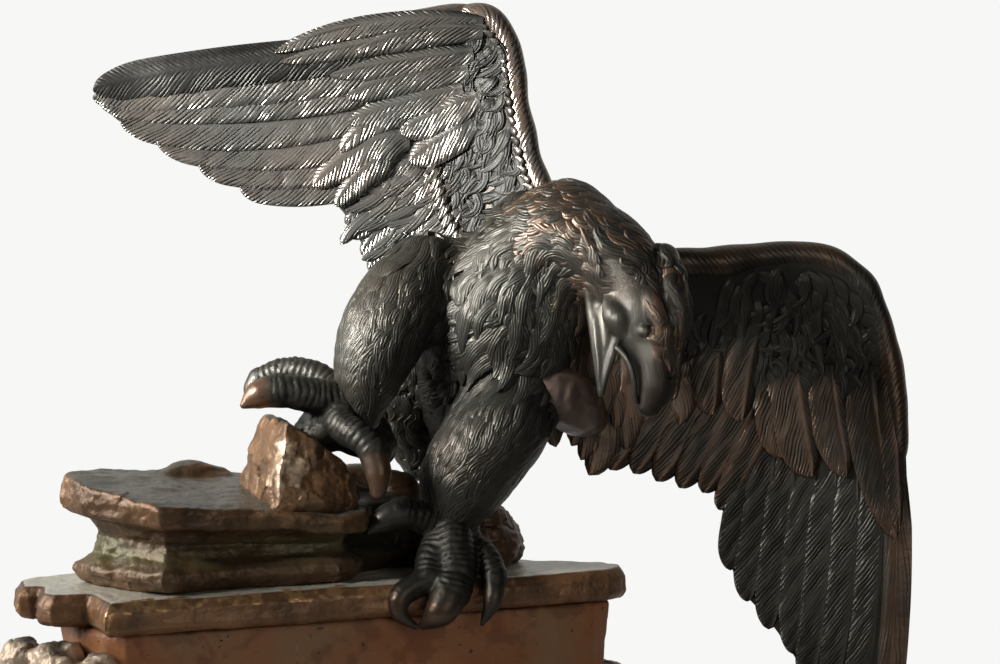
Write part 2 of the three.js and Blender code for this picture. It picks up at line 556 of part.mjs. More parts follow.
const bodyCasting = bodyOuter.subtract(bodyInner);
const bodyKeepOut = stone(BODY_PLAN, grown(BODY_LEVELS));
const PILE_SCREWS = {
  left: { head: [-101, -2, 44], tip: [-120, -2, 44] },
  right: { head: [89, -24, 44], tip: [107, -24, 44] },
};
const betweenStones = box([-160, -90, GROUND_TOP], [160, 90, SLAB_BOTTOM - GAP]);
const pileLeft = union([
  boulder([-120, -10, 70], [17, 19, 17], 0.3),
  boulder([-117, 4, 48], [16, 24, 24], 0.8),
  boulder([-110, -24, 34], [17, 17, 22], 0.2),
]);
const pileRight = union([
  boulder([102, -26, 52], [9, 12, 20], 0.5),
  boulder([103, -22, 34], [13, 14, 22], 1.1),
]);
const pile = (made, { head, tip }) => largest(
  made.intersect(betweenStones).subtract(bodyKeepOut).subtract(holeFor(head, tip)),
);
const bodyWithHoles = Object.values(PILE_SCREWS).reduce(
  (made, { head, tip }) => made.subtract(holeFor(head, tip)),
  bodyCasting,
);

const tieHoles = TIE_RODS.map(([x, y]) => bar([x, y, 0], [x, y, GROUND_TOP + 1], STUD_R + STUD_CLEARANCE));
const COVER_SCREWS = [[-116, 12], [-96, -38], [96, -36], [-60, 40]];
const coverHoles = COVER_SCREWS.map(([x, y]) => bar([x, y, FELT - 1], [x, y, 12], SCREW_R + 0.2, 12));
const groundCuts = [groundPocket, ...tieHoles, ...coverHoles];
const ground = groundCuts.reduce((made, cut) => made.subtract(cut), groundOuter);
const coverForm = stone(GROUND_PLAN, [[FELT, 3], [FELT + COVER, 3]]);
const cover = coverHoles.reduce((made, cut) => made.subtract(cut), coverForm);
const feltForm = stone(GROUND_PLAN, [[0, 3.5], [FELT, 3.5]]);

place(statuette, "rock_ledge", largest(ledge), greenBronze);
place(statuette, "rock_perch", largest(knob), rockBronze);
place(statuette, "rear_boulder", largest(rearBoulder), rockBronze);
place(statuette, "top_slab", largest(slab), rockBronze);
place(statuette, "plinth_body", largest(bodyWithHoles), redPaint);
place(statuette, "rock_pile_left", pile(pileLeft, PILE_SCREWS.left), rockBronze);
place(statuette, "rock_pile_right", pile(pileRight, PILE_SCREWS.right), rockBronze);
place(statuette, "ground_base", largest(ground), rockBronze);
place(statuette, "base_cover", largest(cover), steel);
place(statuette, "felt_pad", feltForm, felt);

TIE_RODS.forEach(([x, y], i) => {
  const down = [x, y, TIE_BOTTOM];
  place(statuette, `tie_rod_${i + 1}`, bar([x, y, TIE_TOP], down, STUD_R), steel);
  const washer = collar([x, y, POCKET_TOP], down, WASHER_R, STUD_R + 0.2, WASHER_T, 20);
  const nut = collar([x, y, POCKET_TOP - WASHER_T], down, NUT_R, STUD_R + 0.05, NUT_T, 6);
  place(statuette, `tie_washer_${i + 1}`, washer, steel);
  place(statuette, `tie_nut_${i + 1}`, nut, steel);
});
[...LEDGE_SCREWS, BOULDER_SCREW].forEach((at, i) => {
  const name = i < LEDGE_SCREWS.length ? `ledge_screw_${i + 1}` : "boulder_screw";
  place(statuette, name, screw(...fromBelow(at, SLAB_BOTTOM, LEDGE_SCREW_TIP - 1)), steel);
});
for (const [side, { head, tip }] of Object.entries(PILE_SCREWS)) {
  const insideWall = v(...head).lerp(v(...tip), 0.02).toArray();
  const end = v(...head).lerp(v(...tip), 0.95).toArray();
  place(statuette, `pile_screw_${side}`, screw(insideWall, end), steel);
}
COVER_SCREWS.forEach(([x, y], i) => {
  place(statuette, `cover_screw_${i + 1}`, bar([x, y, FELT], [x, y, 11], SCREW_R, 12), steel);
});

export default statuette;
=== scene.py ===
import math

import bpy
import numpy as np
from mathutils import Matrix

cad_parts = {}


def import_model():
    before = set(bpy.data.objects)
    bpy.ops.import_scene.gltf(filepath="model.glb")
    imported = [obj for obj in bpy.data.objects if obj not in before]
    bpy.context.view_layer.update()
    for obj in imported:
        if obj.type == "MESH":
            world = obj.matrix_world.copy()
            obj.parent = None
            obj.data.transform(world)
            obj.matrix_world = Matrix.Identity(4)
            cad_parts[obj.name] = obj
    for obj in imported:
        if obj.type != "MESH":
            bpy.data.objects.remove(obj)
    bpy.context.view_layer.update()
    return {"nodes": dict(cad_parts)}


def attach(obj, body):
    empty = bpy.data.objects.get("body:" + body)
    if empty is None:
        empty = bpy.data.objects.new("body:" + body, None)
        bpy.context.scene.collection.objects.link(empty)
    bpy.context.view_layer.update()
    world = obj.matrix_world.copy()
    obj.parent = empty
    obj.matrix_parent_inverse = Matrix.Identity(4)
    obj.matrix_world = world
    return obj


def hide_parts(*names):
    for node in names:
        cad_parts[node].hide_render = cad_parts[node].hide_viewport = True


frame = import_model()

# ---- Driving values, in millimetres and degrees ----

EAGLE_TURN = -22.0            # about Z, from the plinth's front to the eagle's
BARB_PITCH = 1.35             # between the chased lines of a feather
TUFT_LENGTH = 17.0
TUFT_WIDTH = 6.6
TUFT_SPACING = 4.4
BODY_STEP = 1.0               # grid of the body's form
FINE_STEP = 0.6               # grid of the head's and the rocks' forms
SLAB_BOTTOM = 87.0
SLAB_TOP = 100.0
FLOOR_RADIUS = 300.0

# The camera, in the eagle's own frame: +u to the right, +w away, +z up.
CAMERA_TARGET = (60.9, 0.0, 196.0)
CAMERA_DISTANCE = 944.0
CAMERA_ELEVATION = 3.5
CAMERA_LENS = 85.0

# The studio: the light from all round before the eagle, and from the backdrop behind it.
DIM = (0.035, 0.035, 0.035)
BACKDROP = (0.5, 0.5, 0.49)

rng = np.random.RandomState(7)


# ---- Small maths ----

def to_row(points):
    """Points in the eagle's frame, in mm, as points in the row's frame, in metres."""
    a = math.radians(EAGLE_TURN)
    u, w, z = points[..., 0], points[..., 1], points[..., 2]
    x = u * math.cos(a) - w * math.sin(a)
    y = u * math.sin(a) + w * math.cos(a)
    return np.stack([x, y, z], -1) * 0.001


def metres(points):
    return points * 0.001


def unit(v):
    return v / np.maximum(np.linalg.norm(v, axis=-1, keepdims=True), 1e-9)


def smooth(low, high, x):
    t = np.clip((x - low) / (high - low), 0, 1)
    return t * t * (3 - 2 * t)


def spline(points, n):
    """n evenly spaced points on a smooth curve through points."""
    p = np.array(points, float)
    ends = np.vstack([2 * p[0] - p[1], p, 2 * p[-1] - p[-2]])
    t = np.linspace(0, 1, max(8, 3 * n // len(p)), endpoint=False)[:, None]
    runs = []
    for a, b, c, d in zip(ends, ends[1:], ends[2:], ends[3:]):
        runs.append(0.5 * (2 * b + (c - a) * t + (2 * a - 5 * b + 4 * c - d) * t**2 + (3 * b - a - 3 * c + d) * t**3))
    dense = np.vstack(runs + [p[-1:]])
    far = np.r_[0, np.cumsum(np.linalg.norm(np.diff(dense, axis=0), axis=1))]
    want = np.linspace(0, far[-1], n)
    return np.stack([np.interp(want, far, dense[:, k]) for k in range(p.shape[1])], 1)


def spread(values, n):
    """n values interpolated between evenly spaced ones."""
    return np.interp(np.linspace(0, 1, n), np.linspace(0, 1, len(values)), values)


LATTICE = np.random.RandomState(3).rand(32, 32, 32)


def noise(points, size, octaves=3):
    """Smooth noise from -1 to 1, with features about size across."""
    total = np.zeros(points.shape[:-1])
    weight, reach = 1.0, 0.0
    for octave in range(octaves):
        q = points / size * 2**octave + 17.3 * octave
        i = np.floor(q).astype(int)
        f = q - i
        f = f * f * (3 - 2 * f)
        value = 0.0
        for corner in np.ndindex(2, 2, 2):
            c = np.array(corner)
            share = np.prod(np.where(c, f, 1 - f), axis=-1)
            at = (i + c) % 32
            value = value + share * LATTICE[at[..., 0], at[..., 1], at[..., 2]]
        total += weight * (2 * value - 1)
        reach += weight
        weight *= 0.5
    return total / reach * 1.6


def facets(points, size, seed):
    """Broken-stone relief from about -1 to 1: each nearest seed point gives a plane of its own tilt."""
    table = np.random.RandomState(seed)
    jitter = table.rand(16, 16, 16, 3)
    tilt = table.randn(16, 16, 16, 3)
    q = points / size
    i = np.floor(q).astype(int)
    best = np.full(points.shape[:-1], 9.0)
    height = np.zeros(points.shape[:-1])
    for step in np.ndindex(3, 3, 3):
        cell = i + np.array(step) - 1
        at = cell % 16
        spot = cell + jitter[at[..., 0], at[..., 1], at[..., 2]]
        away = q - spot
        distance = np.linalg.norm(away, axis=-1)
        plane = np.sum(away * tilt[at[..., 0], at[..., 1], at[..., 2]], -1) + 0.35 * tilt[at[..., 0], at[..., 1], at[..., 2], 0]
        nearer = distance < best
        best = np.where(nearer, distance, best)
        height = np.where(nearer, plane, height)
    return np.clip(height, -1.5, 1.5)


# ---- Forms: signed distance on a grid ----

class Form:
    """A solid as signed distance, negative inside, on a regular grid."""

    def __init__(self, low, high, step):
        self.low = np.array(low, float)
        self.step = step
        self.size = np.ceil((np.array(high, float) - self.low) / step).astype(int) + 1
        self.value = np.full(self.size, 50.0, np.float32)
        self.slope = None

    def axes(self, low, high):
        first = np.clip(((low - self.low) / self.step).astype(int), 0, self.size - 1)
        last = np.clip(((high - self.low) / self.step).astype(int) + 2, 1, self.size)
        block = tuple(slice(a, b) for a, b in zip(first, last))
        at = np.meshgrid(*[self.low[k] + self.step * np.arange(first[k], last[k]) for k in range(3)], indexing="ij")
        return block, at

    def limb(self, path, radii, flat=1.0, blend=5.0, carve=False, n=14):
        """Adds a round limb along a path, or cuts it away. flat is its depth as a share of its width."""
        p = spline(path, n)
        r = spread(radii, n)
        reach = r.max() + blend + 3
        block, (x, y, z) = self.axes(p.min(0) - reach, p.max(0) + reach)
        middle = p[:, 1].mean()
        y = middle + (y - middle) / flat
        p = p.copy()
        p[:, 1] = middle + (p[:, 1] - middle) / flat
        nearest = np.full(x.shape, 99.0)
        for a, b, ra, rb in zip(p, p[1:], r, r[1:]):
            d = b - a
            h = np.clip(((x - a[0]) * d[0] + (y - a[1]) * d[1] + (z - a[2]) * d[2]) / (d @ d), 0, 1)
            gap = np.sqrt((x - a[0] - h * d[0])**2 + (y - a[1] - h * d[1])**2 + (z - a[2] - h * d[2])**2)
            nearest = np.minimum(nearest, gap - (ra + h * (rb - ra)))
        self.mix(block, nearest, blend, carve)

    def mix(self, block, distance, blend, carve=False):
        old = self.value[block]
        if carve:
            h = np.clip(0.5 - 0.5 * (old + distance) / blend, 0, 1)
            self.value[block] = old * (1 - h) - distance * h + blend * h * (1 - h)
        else:
            h = np.clip(0.5 + 0.5 * (old - distance) / blend, 0, 1)
            self.value[block] = old * (1 - h) + distance * h - blend * h * (1 - h)

    def everywhere(self):
        return self.axes(self.low, self.low + self.step * self.size)

    def sample(self, points, grid=None):
        grid = self.value if grid is None else grid
        q = np.clip((points - self.low) / self.step, 0, self.size - 1.001)
        i = q.astype(int)
        f = q - i
        total = 0.0
        for corner in np.ndindex(2, 2, 2):
            c = np.array(corner)
            share = np.prod(np.where(c, f, 1 - f), axis=-1)
            at = i + c
            total = total + share * grid[at[..., 0], at[..., 1], at[..., 2]]
        return total

    def normal(self, points):
        if self.slope is None:
            self.slope = [g.astype(np.float32) for g in np.gradient(self.value, self.step)]
        return unit(np.stack([self.sample(points, g) for g in self.slope], -1))

    def snap(self, points, times=3):
        """The points moved onto the surface."""
        for _ in range(times):
            points = points - self.normal(points) * self.sample(points)[..., None]
        return points

    def skin(self):
        """(vertices, quads) of the surface, by surface nets."""
        inside = self.value < 0
        cells = np.zeros(self.size - 1, int)
        for corner in np.ndindex(2, 2, 2):
            cells += inside[tuple(slice(c, c + n - 1) for c, n in zip(corner, self.size))]
        active = (cells > 0) & (cells < 8)
        where = np.argwhere(active)
        index = np.full(self.size - 1, -1)
        index[active] = np.arange(len(where))
        total = np.zeros((len(where), 3))
        count = np.zeros(len(where))
        for axis in range(3):
            others = [k for k in range(3) if k != axis]
            for shift in np.ndindex(2, 2):
                a = where.copy()
                a[:, others[0]] += shift[0]
                a[:, others[1]] += shift[1]
                b = a.copy()
                b[:, axis] += 1
                va, vb = self.value[tuple(a.T)], self.value[tuple(b.T)]
                cross = (va < 0) != (vb < 0)
                t = np.where(cross, va / np.where(cross, va - vb, 1), 0)
                spot = a.astype(float)
                spot[:, axis] += t
                total[cross] += spot[cross]
                count[cross] += 1
        vertices = self.low + self.step * total / count[:, None]
        quads = []
        for axis in range(3):
            j, k = [(axis + 1) % 3, (axis + 2) % 3]
            low = [slice(None)] * 3
            high = [slice(None)] * 3
            low[axis], high[axis] = slice(0, -1), slice(1, None)
            a, b = inside[tuple(low)], inside[tuple(high)]
            for sign, edges in ((1, a & ~b), (-1, ~a & b)):
                at = np.argwhere(edges)
                at = at[(at[:, j] > 0) & (at[:, k] > 0) & (at[:, j] < self.size[j] - 1) & (at[:, k] < self.size[k] - 1)]
                ring = []
                for dj, dk in ((-1, -1), (0, -1), (0, 0), (-1, 0)):
                    c = at.copy()
                    c[:, j] += dj
                    c[:, k] += dk
                    ring.append(index[tuple(c.T)])
                quads.append(np.stack(ring[::sign], 1))
        return vertices, np.vstack(quads)


# ---- Skins: mesh pieces with the values their material reads ----

class Skin:
    """Collects vertices and quads. grain holds, for each vertex, the chased lines' count, the distance along them and
    a number of the feather's own; cut is how deep the lines are, wear how polished and recess how dark it is made:
    for its hollows, and as painted shade where shade falls."""

    def __init__(self):
        self.points, self.quads, self.grain, self.values = [], [], [], []
        self.count = 0

    def add(self, points, quads, grain=None, cut=0.0, wear=0.0, recess=0.0):
        n = len(points)
        quads = np.asarray(quads)
        a, b, c, d = (points[quads[:, k]] for k in range(4))
        if np.einsum("ij,ij->", np.cross(b - a, c - a) + np.cross(c - a, d - a), a) < 0:
            quads = quads[:, ::-1]
        self.points.append(points)
        self.quads.append(quads + self.count)
        self.grain.append(np.zeros((n, 3)) if grain is None else grain)
        self.values.append(np.stack([np.broadcast_to(np.asarray(v, float), (n,)) for v in (cut, wear, recess)], 1))
        self.count += n

    def object(self, name, material, place=to_row, sharp=48.0, nodes=(), body="root"):
        points = place(np.vstack(self.points))
        quads = np.vstack(self.quads)
        mesh = bpy.data.meshes.new(name)
        mesh.vertices.add(len(points))
        mesh.vertices.foreach_set("co", points.astype(np.float32).ravel())
        mesh.loops.add(quads.size)
        mesh.loops.foreach_set("vertex_index", quads.astype(np.int32).ravel())
        mesh.polygons.add(len(quads))
        mesh.polygons.foreach_set("loop_start", np.arange(0, quads.size, 4, dtype=np.int32))
        mesh.update(calc_edges=True)
        grain = mesh.attributes.new("grain", "FLOAT_VECTOR", "POINT")
        grain.data.foreach_set("vector", np.vstack(self.grain).astype(np.float32).ravel())
        values = np.vstack(self.values)
        for k, attribute in enumerate(("cut", "wear", "recess")):
            layer = mesh.attributes.new(attribute, "FLOAT", "POINT")
            layer.data.foreach_set("value", values[:, k].astype(np.float32))
        mesh.polygons.foreach_set("use_smooth", np.ones(len(mesh.polygons), bool))
        mesh.set_sharp_from_angle(angle=math.radians(sharp))
        mesh.materials.append(material)
        made = bpy.data.objects.new(name, mesh)
        bpy.context.scene.collection.objects.link(made)
        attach(made, body)
        if nodes:
            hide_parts(*nodes)
        return made


def grid_quads(rows, columns, flip=False):
    a = (np.arange(rows - 1)[:, None] * columns + np.arange(columns - 1)).ravel()
    ring = [a, a + 1, a + columns + 1, a + columns]
    return np.stack(ring[::-1] if flip else ring, 1)


def shell_quads(rows, columns, flip=False):
    """Quads of a closed shell: a top grid, then a bottom grid of the same size."""
    n = rows * columns
    top = grid_quads(rows, columns, flip)
    bottom = grid_quads(rows, columns, not flip) + n
    edge = np.r_[np.arange(columns), np.arange(1, rows) * columns + columns - 1,
                 (rows - 1) * columns + np.arange(columns - 2, -1, -1), np.arange(rows - 2, 0, -1) * columns]
    after = np.roll(edge, -1)
    side = [after, edge, edge + n, after + n]
    return np.vstack([top, bottom, np.stack(side[::-1] if flip else side, 1)])


def repeated(quads, each, count):
    return (quads[None] + each * np.arange(count)[:, None, None]).reshape(-1, 4)


# ---- Wings and tail ----

class Sheet:
    """A wing or the tail as a smooth sheet: its depth over a plan, and its half thickness. axes says which of u, w, z
    the plan's two and the depth are."""

    def __init__(self, lead, trail, belly, root_half, tip_half, axes=(0, 2, 1)):
        self.axes = axes
        self.lead = spline(lead, 60)[:, list(axes)]
        self.trail = spline(trail, 60)[:, list(axes)]
        knots = [self.lead[::6], self.trail[::6]]
        for share in (0.33, 0.66):
            middle = self.lead[::6] * (1 - share) + self.trail[::6] * share
            middle[:, 2] += belly
            knots.append(middle)
        knots = np.vstack(knots)
        self.spots = knots[:, :2]
        n = len(knots)
        flat = np.c_[np.ones(n), self.spots]
        system = np.zeros((n + 3, n + 3))
        system[:n, :n] = self.kernel(self.spots) + 40 * np.eye(n)
        system[:n, n:] = flat
        system[n:, :n] = flat.T
        self.weights = np.linalg.solve(system, np.r_[knots[:, 2], 0, 0, 0])
        self.edge = spline(lead, 150)[:, list(axes)][:, :2]
        self.root_half, self.tip_half = root_half, tip_half

    def kernel(self, plan):
        r2 = ((plan[..., None, :] - self.spots)**2).sum(-1)
        return 0.5 * r2 * np.log(r2 + 1)

    def depth(self, plan):
        return self.kernel(plan) @ self.weights[:-3] + self.weights[-3] + plan @ self.weights[-2:]

    def half(self, plan):
        """Half the thickness: thickest near the root of the leading edge."""
        gaps = np.sqrt(((plan[..., None, :] - self.edge)**2).sum(-1))
        from_lead = gaps.min(-1)
        weight = np.exp((from_lead[..., None] - gaps) / 5)
        near_root = 1 - (weight * np.linspace(0, 1, len(self.edge))).sum(-1) / weight.sum(-1)
        arm = self.root_half * (0.35 + 0.65 * near_root)
        return self.tip_half + (arm - self.tip_half) * np.exp(-(from_lead / 26)**2) * smooth(-1, 7, from_lead)

    def place(self, plan, height, side):
        """The points over a plan, height above the sheet's face: side -1 is the face that shows, 1 the back."""
        points = np.empty(plan.shape[:-1] + (3,))
        first, second, third = self.axes
        points[..., first] = plan[..., 0]
        points[..., second] = plan[..., 1]
        points[..., third] = self.depth(plan) + side * (self.half(plan) + height)
        return points

    def core(self, skin, inset=0.015):
        """The solid under the feathers."""
        rows, columns = 60, 20
        share = np.linspace(inset, 1 - inset * 1.6, columns)[None, :, None]
        plan = self.lead[:, None, :2] * (1 - share) + self.trail[:, None, :2] * share
        top = self.place(plan, 0.0, -1).reshape(-1, 3)
        bottom = self.place(plan, 0.0, 1).reshape(-1, 3)
        skin.add(np.vstack([top, bottom]), shell_quads(rows, columns), recess=0.7)


def leaf_plans(roots, bends, tips, halves, rows, columns, spine, taper=0.7, neck=0.55):
    """Plans of leaf-shaped feathers: points, share along, share across, distance along and from the spine."""
    roots, bends, tips = (np.asarray(p, float)[:, None] for p in (roots, bends, tips))
    t = np.linspace(0, 1, rows)[None, :, None]
    centre = roots * (1 - t)**2 + 2 * bends * t * (1 - t) + tips * t**2
    tangent = unit(2 * (bends - roots) * (1 - t) + 2 * (tips - bends) * t)
    across = np.stack([-tangent[..., 1], tangent[..., 0]], -1)
    t = t[..., 0]
    shape = np.minimum(1, neck + (1 - neck) * t / 0.3) * np.sqrt(np.clip(1 - (np.clip(t - taper, 0, 1) / (1.001 - taper))**2, 0, 1))
    half = np.asarray(halves, float)[:, None] * np.maximum(shape, 0.06)
    s = np.linspace(-1, 1, columns)
    plan = centre[:, :, None] + across[:, :, None] * (half[..., None] * s)[..., None]
    run = np.concatenate([np.zeros((len(roots), 1)), np.cumsum(np.linalg.norm(np.diff(centre, axis=1), axis=-1), axis=1)], 1)
    from_spine = half[..., None] * (s - spine)
    return plan, t[..., None], s, run[..., None], from_spine


def lay_feathers(skin, wing, roots, bends, tips, halves, side=-1, lift=0.8, tilt=0.8, spine=-0.55, rows=34, columns=13,
                 slant=38.0, pitch=BARB_PITCH, taper=0.7, neck=0.55, thick=1.3, wear=0.35, cut=1.0, camber=0.5,
                 ruffle=0.0, brown=0.0, one_way=False, plain_side=0.0, shade=0.0):
    """Lays feathers on a wing. tilt raises the side away from the spine, so that it lies on the next feather, and
    ruffle splits the vane into bundles. one_way runs the chased lines one way across the spine, and plain_side
    smooths them away on its narrow side."""
    plan, t, s, run, x = leaf_plans(roots, bends, tips, halves, rows, columns, spine, taper, neck)
    n = len(plan)
    own = rng.rand(n)[:, None, None]
    blade = (1 - np.abs(s)**3)
    turned = np.sign(-spine)
    angle = math.radians(slant)
    ripple = noise(np.stack([run + 0 * x, x + 0 * run, 40 * own + 0 * x], -1), 11.0, 2)
    outward = x if one_way else np.abs(x)
    lines = (run * math.sin(angle) - outward * math.cos(angle)) / pitch + 0.5 * ripple
    height = lift + tilt * turned * s * smooth(0, 0.3, t) + camber * blade + 0.4 * np.exp(-((s - spine) / 0.09)**2)
    height = height - 1.6 * (1 - smooth(0, 0.3, t)) + 0.12 * np.sin(6 * t + 9 * own)
    bundle = np.abs(np.sin(lines * math.pi / 6.5 + 5 * own + ripple))
    height = height + ruffle * (bundle - 0.6) * smooth(0.1, 0.7, turned * (s - spine)) + 0.1 * ripple
    height = height - 0.5 * np.abs(s)**8
    top = wing.place(plan, height, side)
    bottom = wing.place(plan, height - thick * (0.35 + 0.65 * blade), side)
    points = np.stack([top.reshape(n, -1, 3), bottom.reshape(n, -1, 3)], 1).reshape(-1, 3)
    quads = repeated(shell_quads(rows, columns), 2 * rows * columns, n)
    grain = np.stack([lines, np.abs(x) + 0 * run, own * 97 + 0 * x], -1).reshape(n, -1, 3)
    grain = np.stack([grain, grain], 1).reshape(-1, 3)
    rib = np.exp(-((s - spine) / 0.1)**2)
    depth = cut * (1 - rib) * smooth(0, 0.12, t) * (0.25 + 0.75 * smooth(0.05, 0.6, np.abs(s - spine)))
    depth = depth * (1 - plain_side * smooth(0.0, 0.1, -turned * (s - spine))) + 0 * x
    depth = depth * (0.55 + 0.45 * smooth(-0.35, 0.35, noise(np.stack([run + 0 * x, 2 * x + 0 * run, 60 * own + 0 * x], -1), 15.0, 1)))
    outer = smooth(0.55, 1.0, turned * s)
    polish = brown + wear * (0.35 * rib + 0.5 * outer + 0.6 * smooth(0.6, 1, t)) + 0 * x
    # Darker where the feather tucks under the next one and at its root; shade adds painted shade on top.
    shelter_and_shade = shade + 0.9 * smooth(0.35, 1, -turned * s) + 0.7 * (1 - smooth(0, 0.25, t))
    shelter_and_shade = shelter_and_shade + 0.5 * (ruffle > 0) * (1 - smooth(0.0, 0.35, bundle)) * smooth(0.2, 0.9, turned * s)
    both = [np.stack([v.reshape(n, -1)] * 2, 1).ravel() for v in (depth, polish, shelter_and_shade)]
    skin.add(points, quads, grain, *both)


def family(curves, count, halves):
    """Roots, bends, tips and half widths of a row of feathers between its first and last."""
    return [spline(c, count) for c in curves] + [spread(halves, count)]


def scatter(inside, low, high, spacing, seed):
    """Points in a plan rectangle, about spacing apart, that lie inside."""
    chance = np.random.RandomState(seed)
    trial = low + chance.rand(9000, 2) * (np.array(high) - low)
    trial = trial[inside(trial)]
    kept = []
    cells = {}
    for p in trial:
        key = tuple((p // spacing).astype(int))
        close = [q for a in (-1, 0, 1) for b in (-1, 0, 1) for q in cells.get((key[0] + a, key[1] + b), ())]
        if all((p[0] - q[0])**2 + (p[1] - q[1])**2 > spacing**2 for q in close):
            cells.setdefault(key, []).append(p)
            kept.append(p)
    return np.array(kept)


def in_outline(outline):
    """A test of plan points against a closed outline."""
    ring = np.array(outline, float)

    def test(points):
        x, y = points[:, 0], points[:, 1]
        odd = np.zeros(len(points), bool)
        for (x0, y0), (x1, y1) in zip(ring, np.roll(ring, -1, 0)):
            crosses = (y0 > y) != (y1 > y)
            slope = (x1 - x0) / (y1 - y0) if y1 != y0 else 0
            odd ^= crosses & (x < x0 + (y - y0) * slope)
        return odd
    return test


def lay_coverts(skin, wing, outline, heading, length, half, spacing, seed, side=-1, lift=1.0, wear=0.3, wave=0.5,
                brown=0.0, slant=12.0, cut=0.9, camber=0.8, shade=0.0):
    """Small soft feathers over an outline. heading gives their direction, in degrees, at plan points."""
    box = np.array(outline, float)
    roots = scatter(in_outline(outline), box.min(0), box.max(0), spacing, seed)
    chance = np.random.RandomState(seed + 1)
    turn = np.radians(heading(roots) + chance.randn(len(roots)) * 9)
    ahead = np.stack([np.cos(turn), np.sin(turn)], 1)
    beside = np.stack([-ahead[:, 1], ahead[:, 0]], 1)
    size = (0.75 + 0.5 * chance.rand(len(roots)))[:, None]
    tips = roots + ahead * length * size
    bends = roots + ahead * length * 0.5 * size + beside * (length * wave * 0.3 * (0.6 + chance.randn(len(roots))))[:, None]
    lay_feathers(skin, wing, roots, bends, tips, half * size[:, 0], side, lift=lift, tilt=0.35, spine=-0.15,
                 rows=14, columns=9, slant=slant, taper=0.35, neck=0.6, thick=1.6, wear=wear, camber=camber,
                 brown=brown, cut=cut, one_way=True, shade=shade)


def rim(skin, sheet, start, stop, radius, seed):
    """The rolled leading edge of a wing, with short hair combed over it."""
    inward = unit(sheet.trail - sheet.lead) * (1.0, 1.0, 0.0)
    lead = (sheet.lead + 1.35 * radius * inward)[start:stop][:, list(np.argsort(sheet.axes))]
    n, around = 220, 16
    path = spline(lead[::3], n)
    tangent = unit(np.gradient(path, axis=0))
    side = unit(np.cross(tangent, [0, 1, 0]))
    up = np.cross(side, tangent)
    ends = np.sqrt(np.clip(1 - np.abs(np.linspace(-1, 1, n))**10, 0.01, 1))
    angle = np.linspace(0, 2 * np.pi, around, endpoint=False)
    far = np.arange(n) * np.linalg.norm(path[1] - path[0])
    r = (radius * ends)[:, None] * (1 + 0.12 * noise(np.stack([path] * around, 1), 12, 1))
    ring = path[:, None] + side[:, None] * (np.cos(angle) * r * 1.5)[..., None] + up[:, None] * (np.sin(angle) * r * 1.7)[..., None]
    a = (np.arange(n - 1)[:, None] * around + np.arange(around)).ravel()
    b = (np.arange(n - 1)[:, None] * around + (np.arange(around) + 1) % around).ravel()
    quads = [np.stack([a, a + around, b + around, b], 1)]
    for row, turn in ((0, 1), (n - 1, -1)):
        base = row * around
        caps = [[base + k, base + k + 1, base + around - 2 - k, base + around - 1 - k][::turn] for k in range(around // 2 - 1)]
        quads.append(np.array(caps))
    grain = np.stack([far[:, None] / 2.6 + 2.2 * np.cos(angle)[None] + 0 * r, angle * radius + 0 * r, seed + 0 * r], -1)
    wear = 0.5 + 0.3 * noise(ring, 24, 2)
    skin.add(ring.reshape(-1, 3), np.vstack(quads), grain.reshape(-1, 3), 0.5, np.clip(wear, 0, 1).ravel(), 0.0)


RIGHT_LEAD = [(86, 12, 247), (77, 20, 266), (71, 24, 292), (67, 27, 315), (55, 28, 328), (30, 26, 326), (-8, 22, 316),
              (-40, 16, 308), (-70, 10, 304), (-95, 4, 300)]
RIGHT_TRAIL = [(36, 18, 206), (14, 22, 213), (1, 22, 232), (-8, 21, 245), (-26, 19, 249), (-46, 15, 256), (-66, 10, 264),
               (-84, 5, 274), (-96, 2, 284), (-100, 1, 292)]
LEFT_LEAD = [(104, 12, 236), (134, 20, 229), (152, 27, 228), (180, 34, 231), (202, 37, 228), (218, 37, 212), (227, 35, 178),
             (230, 31, 140), (229, 26, 96), (225, 22, 56), (217, 18, 27)]
LEFT_TRAIL = [(84, 16, 160), (96, 20, 149), (106, 22, 140), (128, 24, 135), (150, 27, 129), (152, 27, 108), (158, 26, 88),
              (172, 24, 72), (186, 21, 52), (199, 18, 26), (208, 16, 17)]


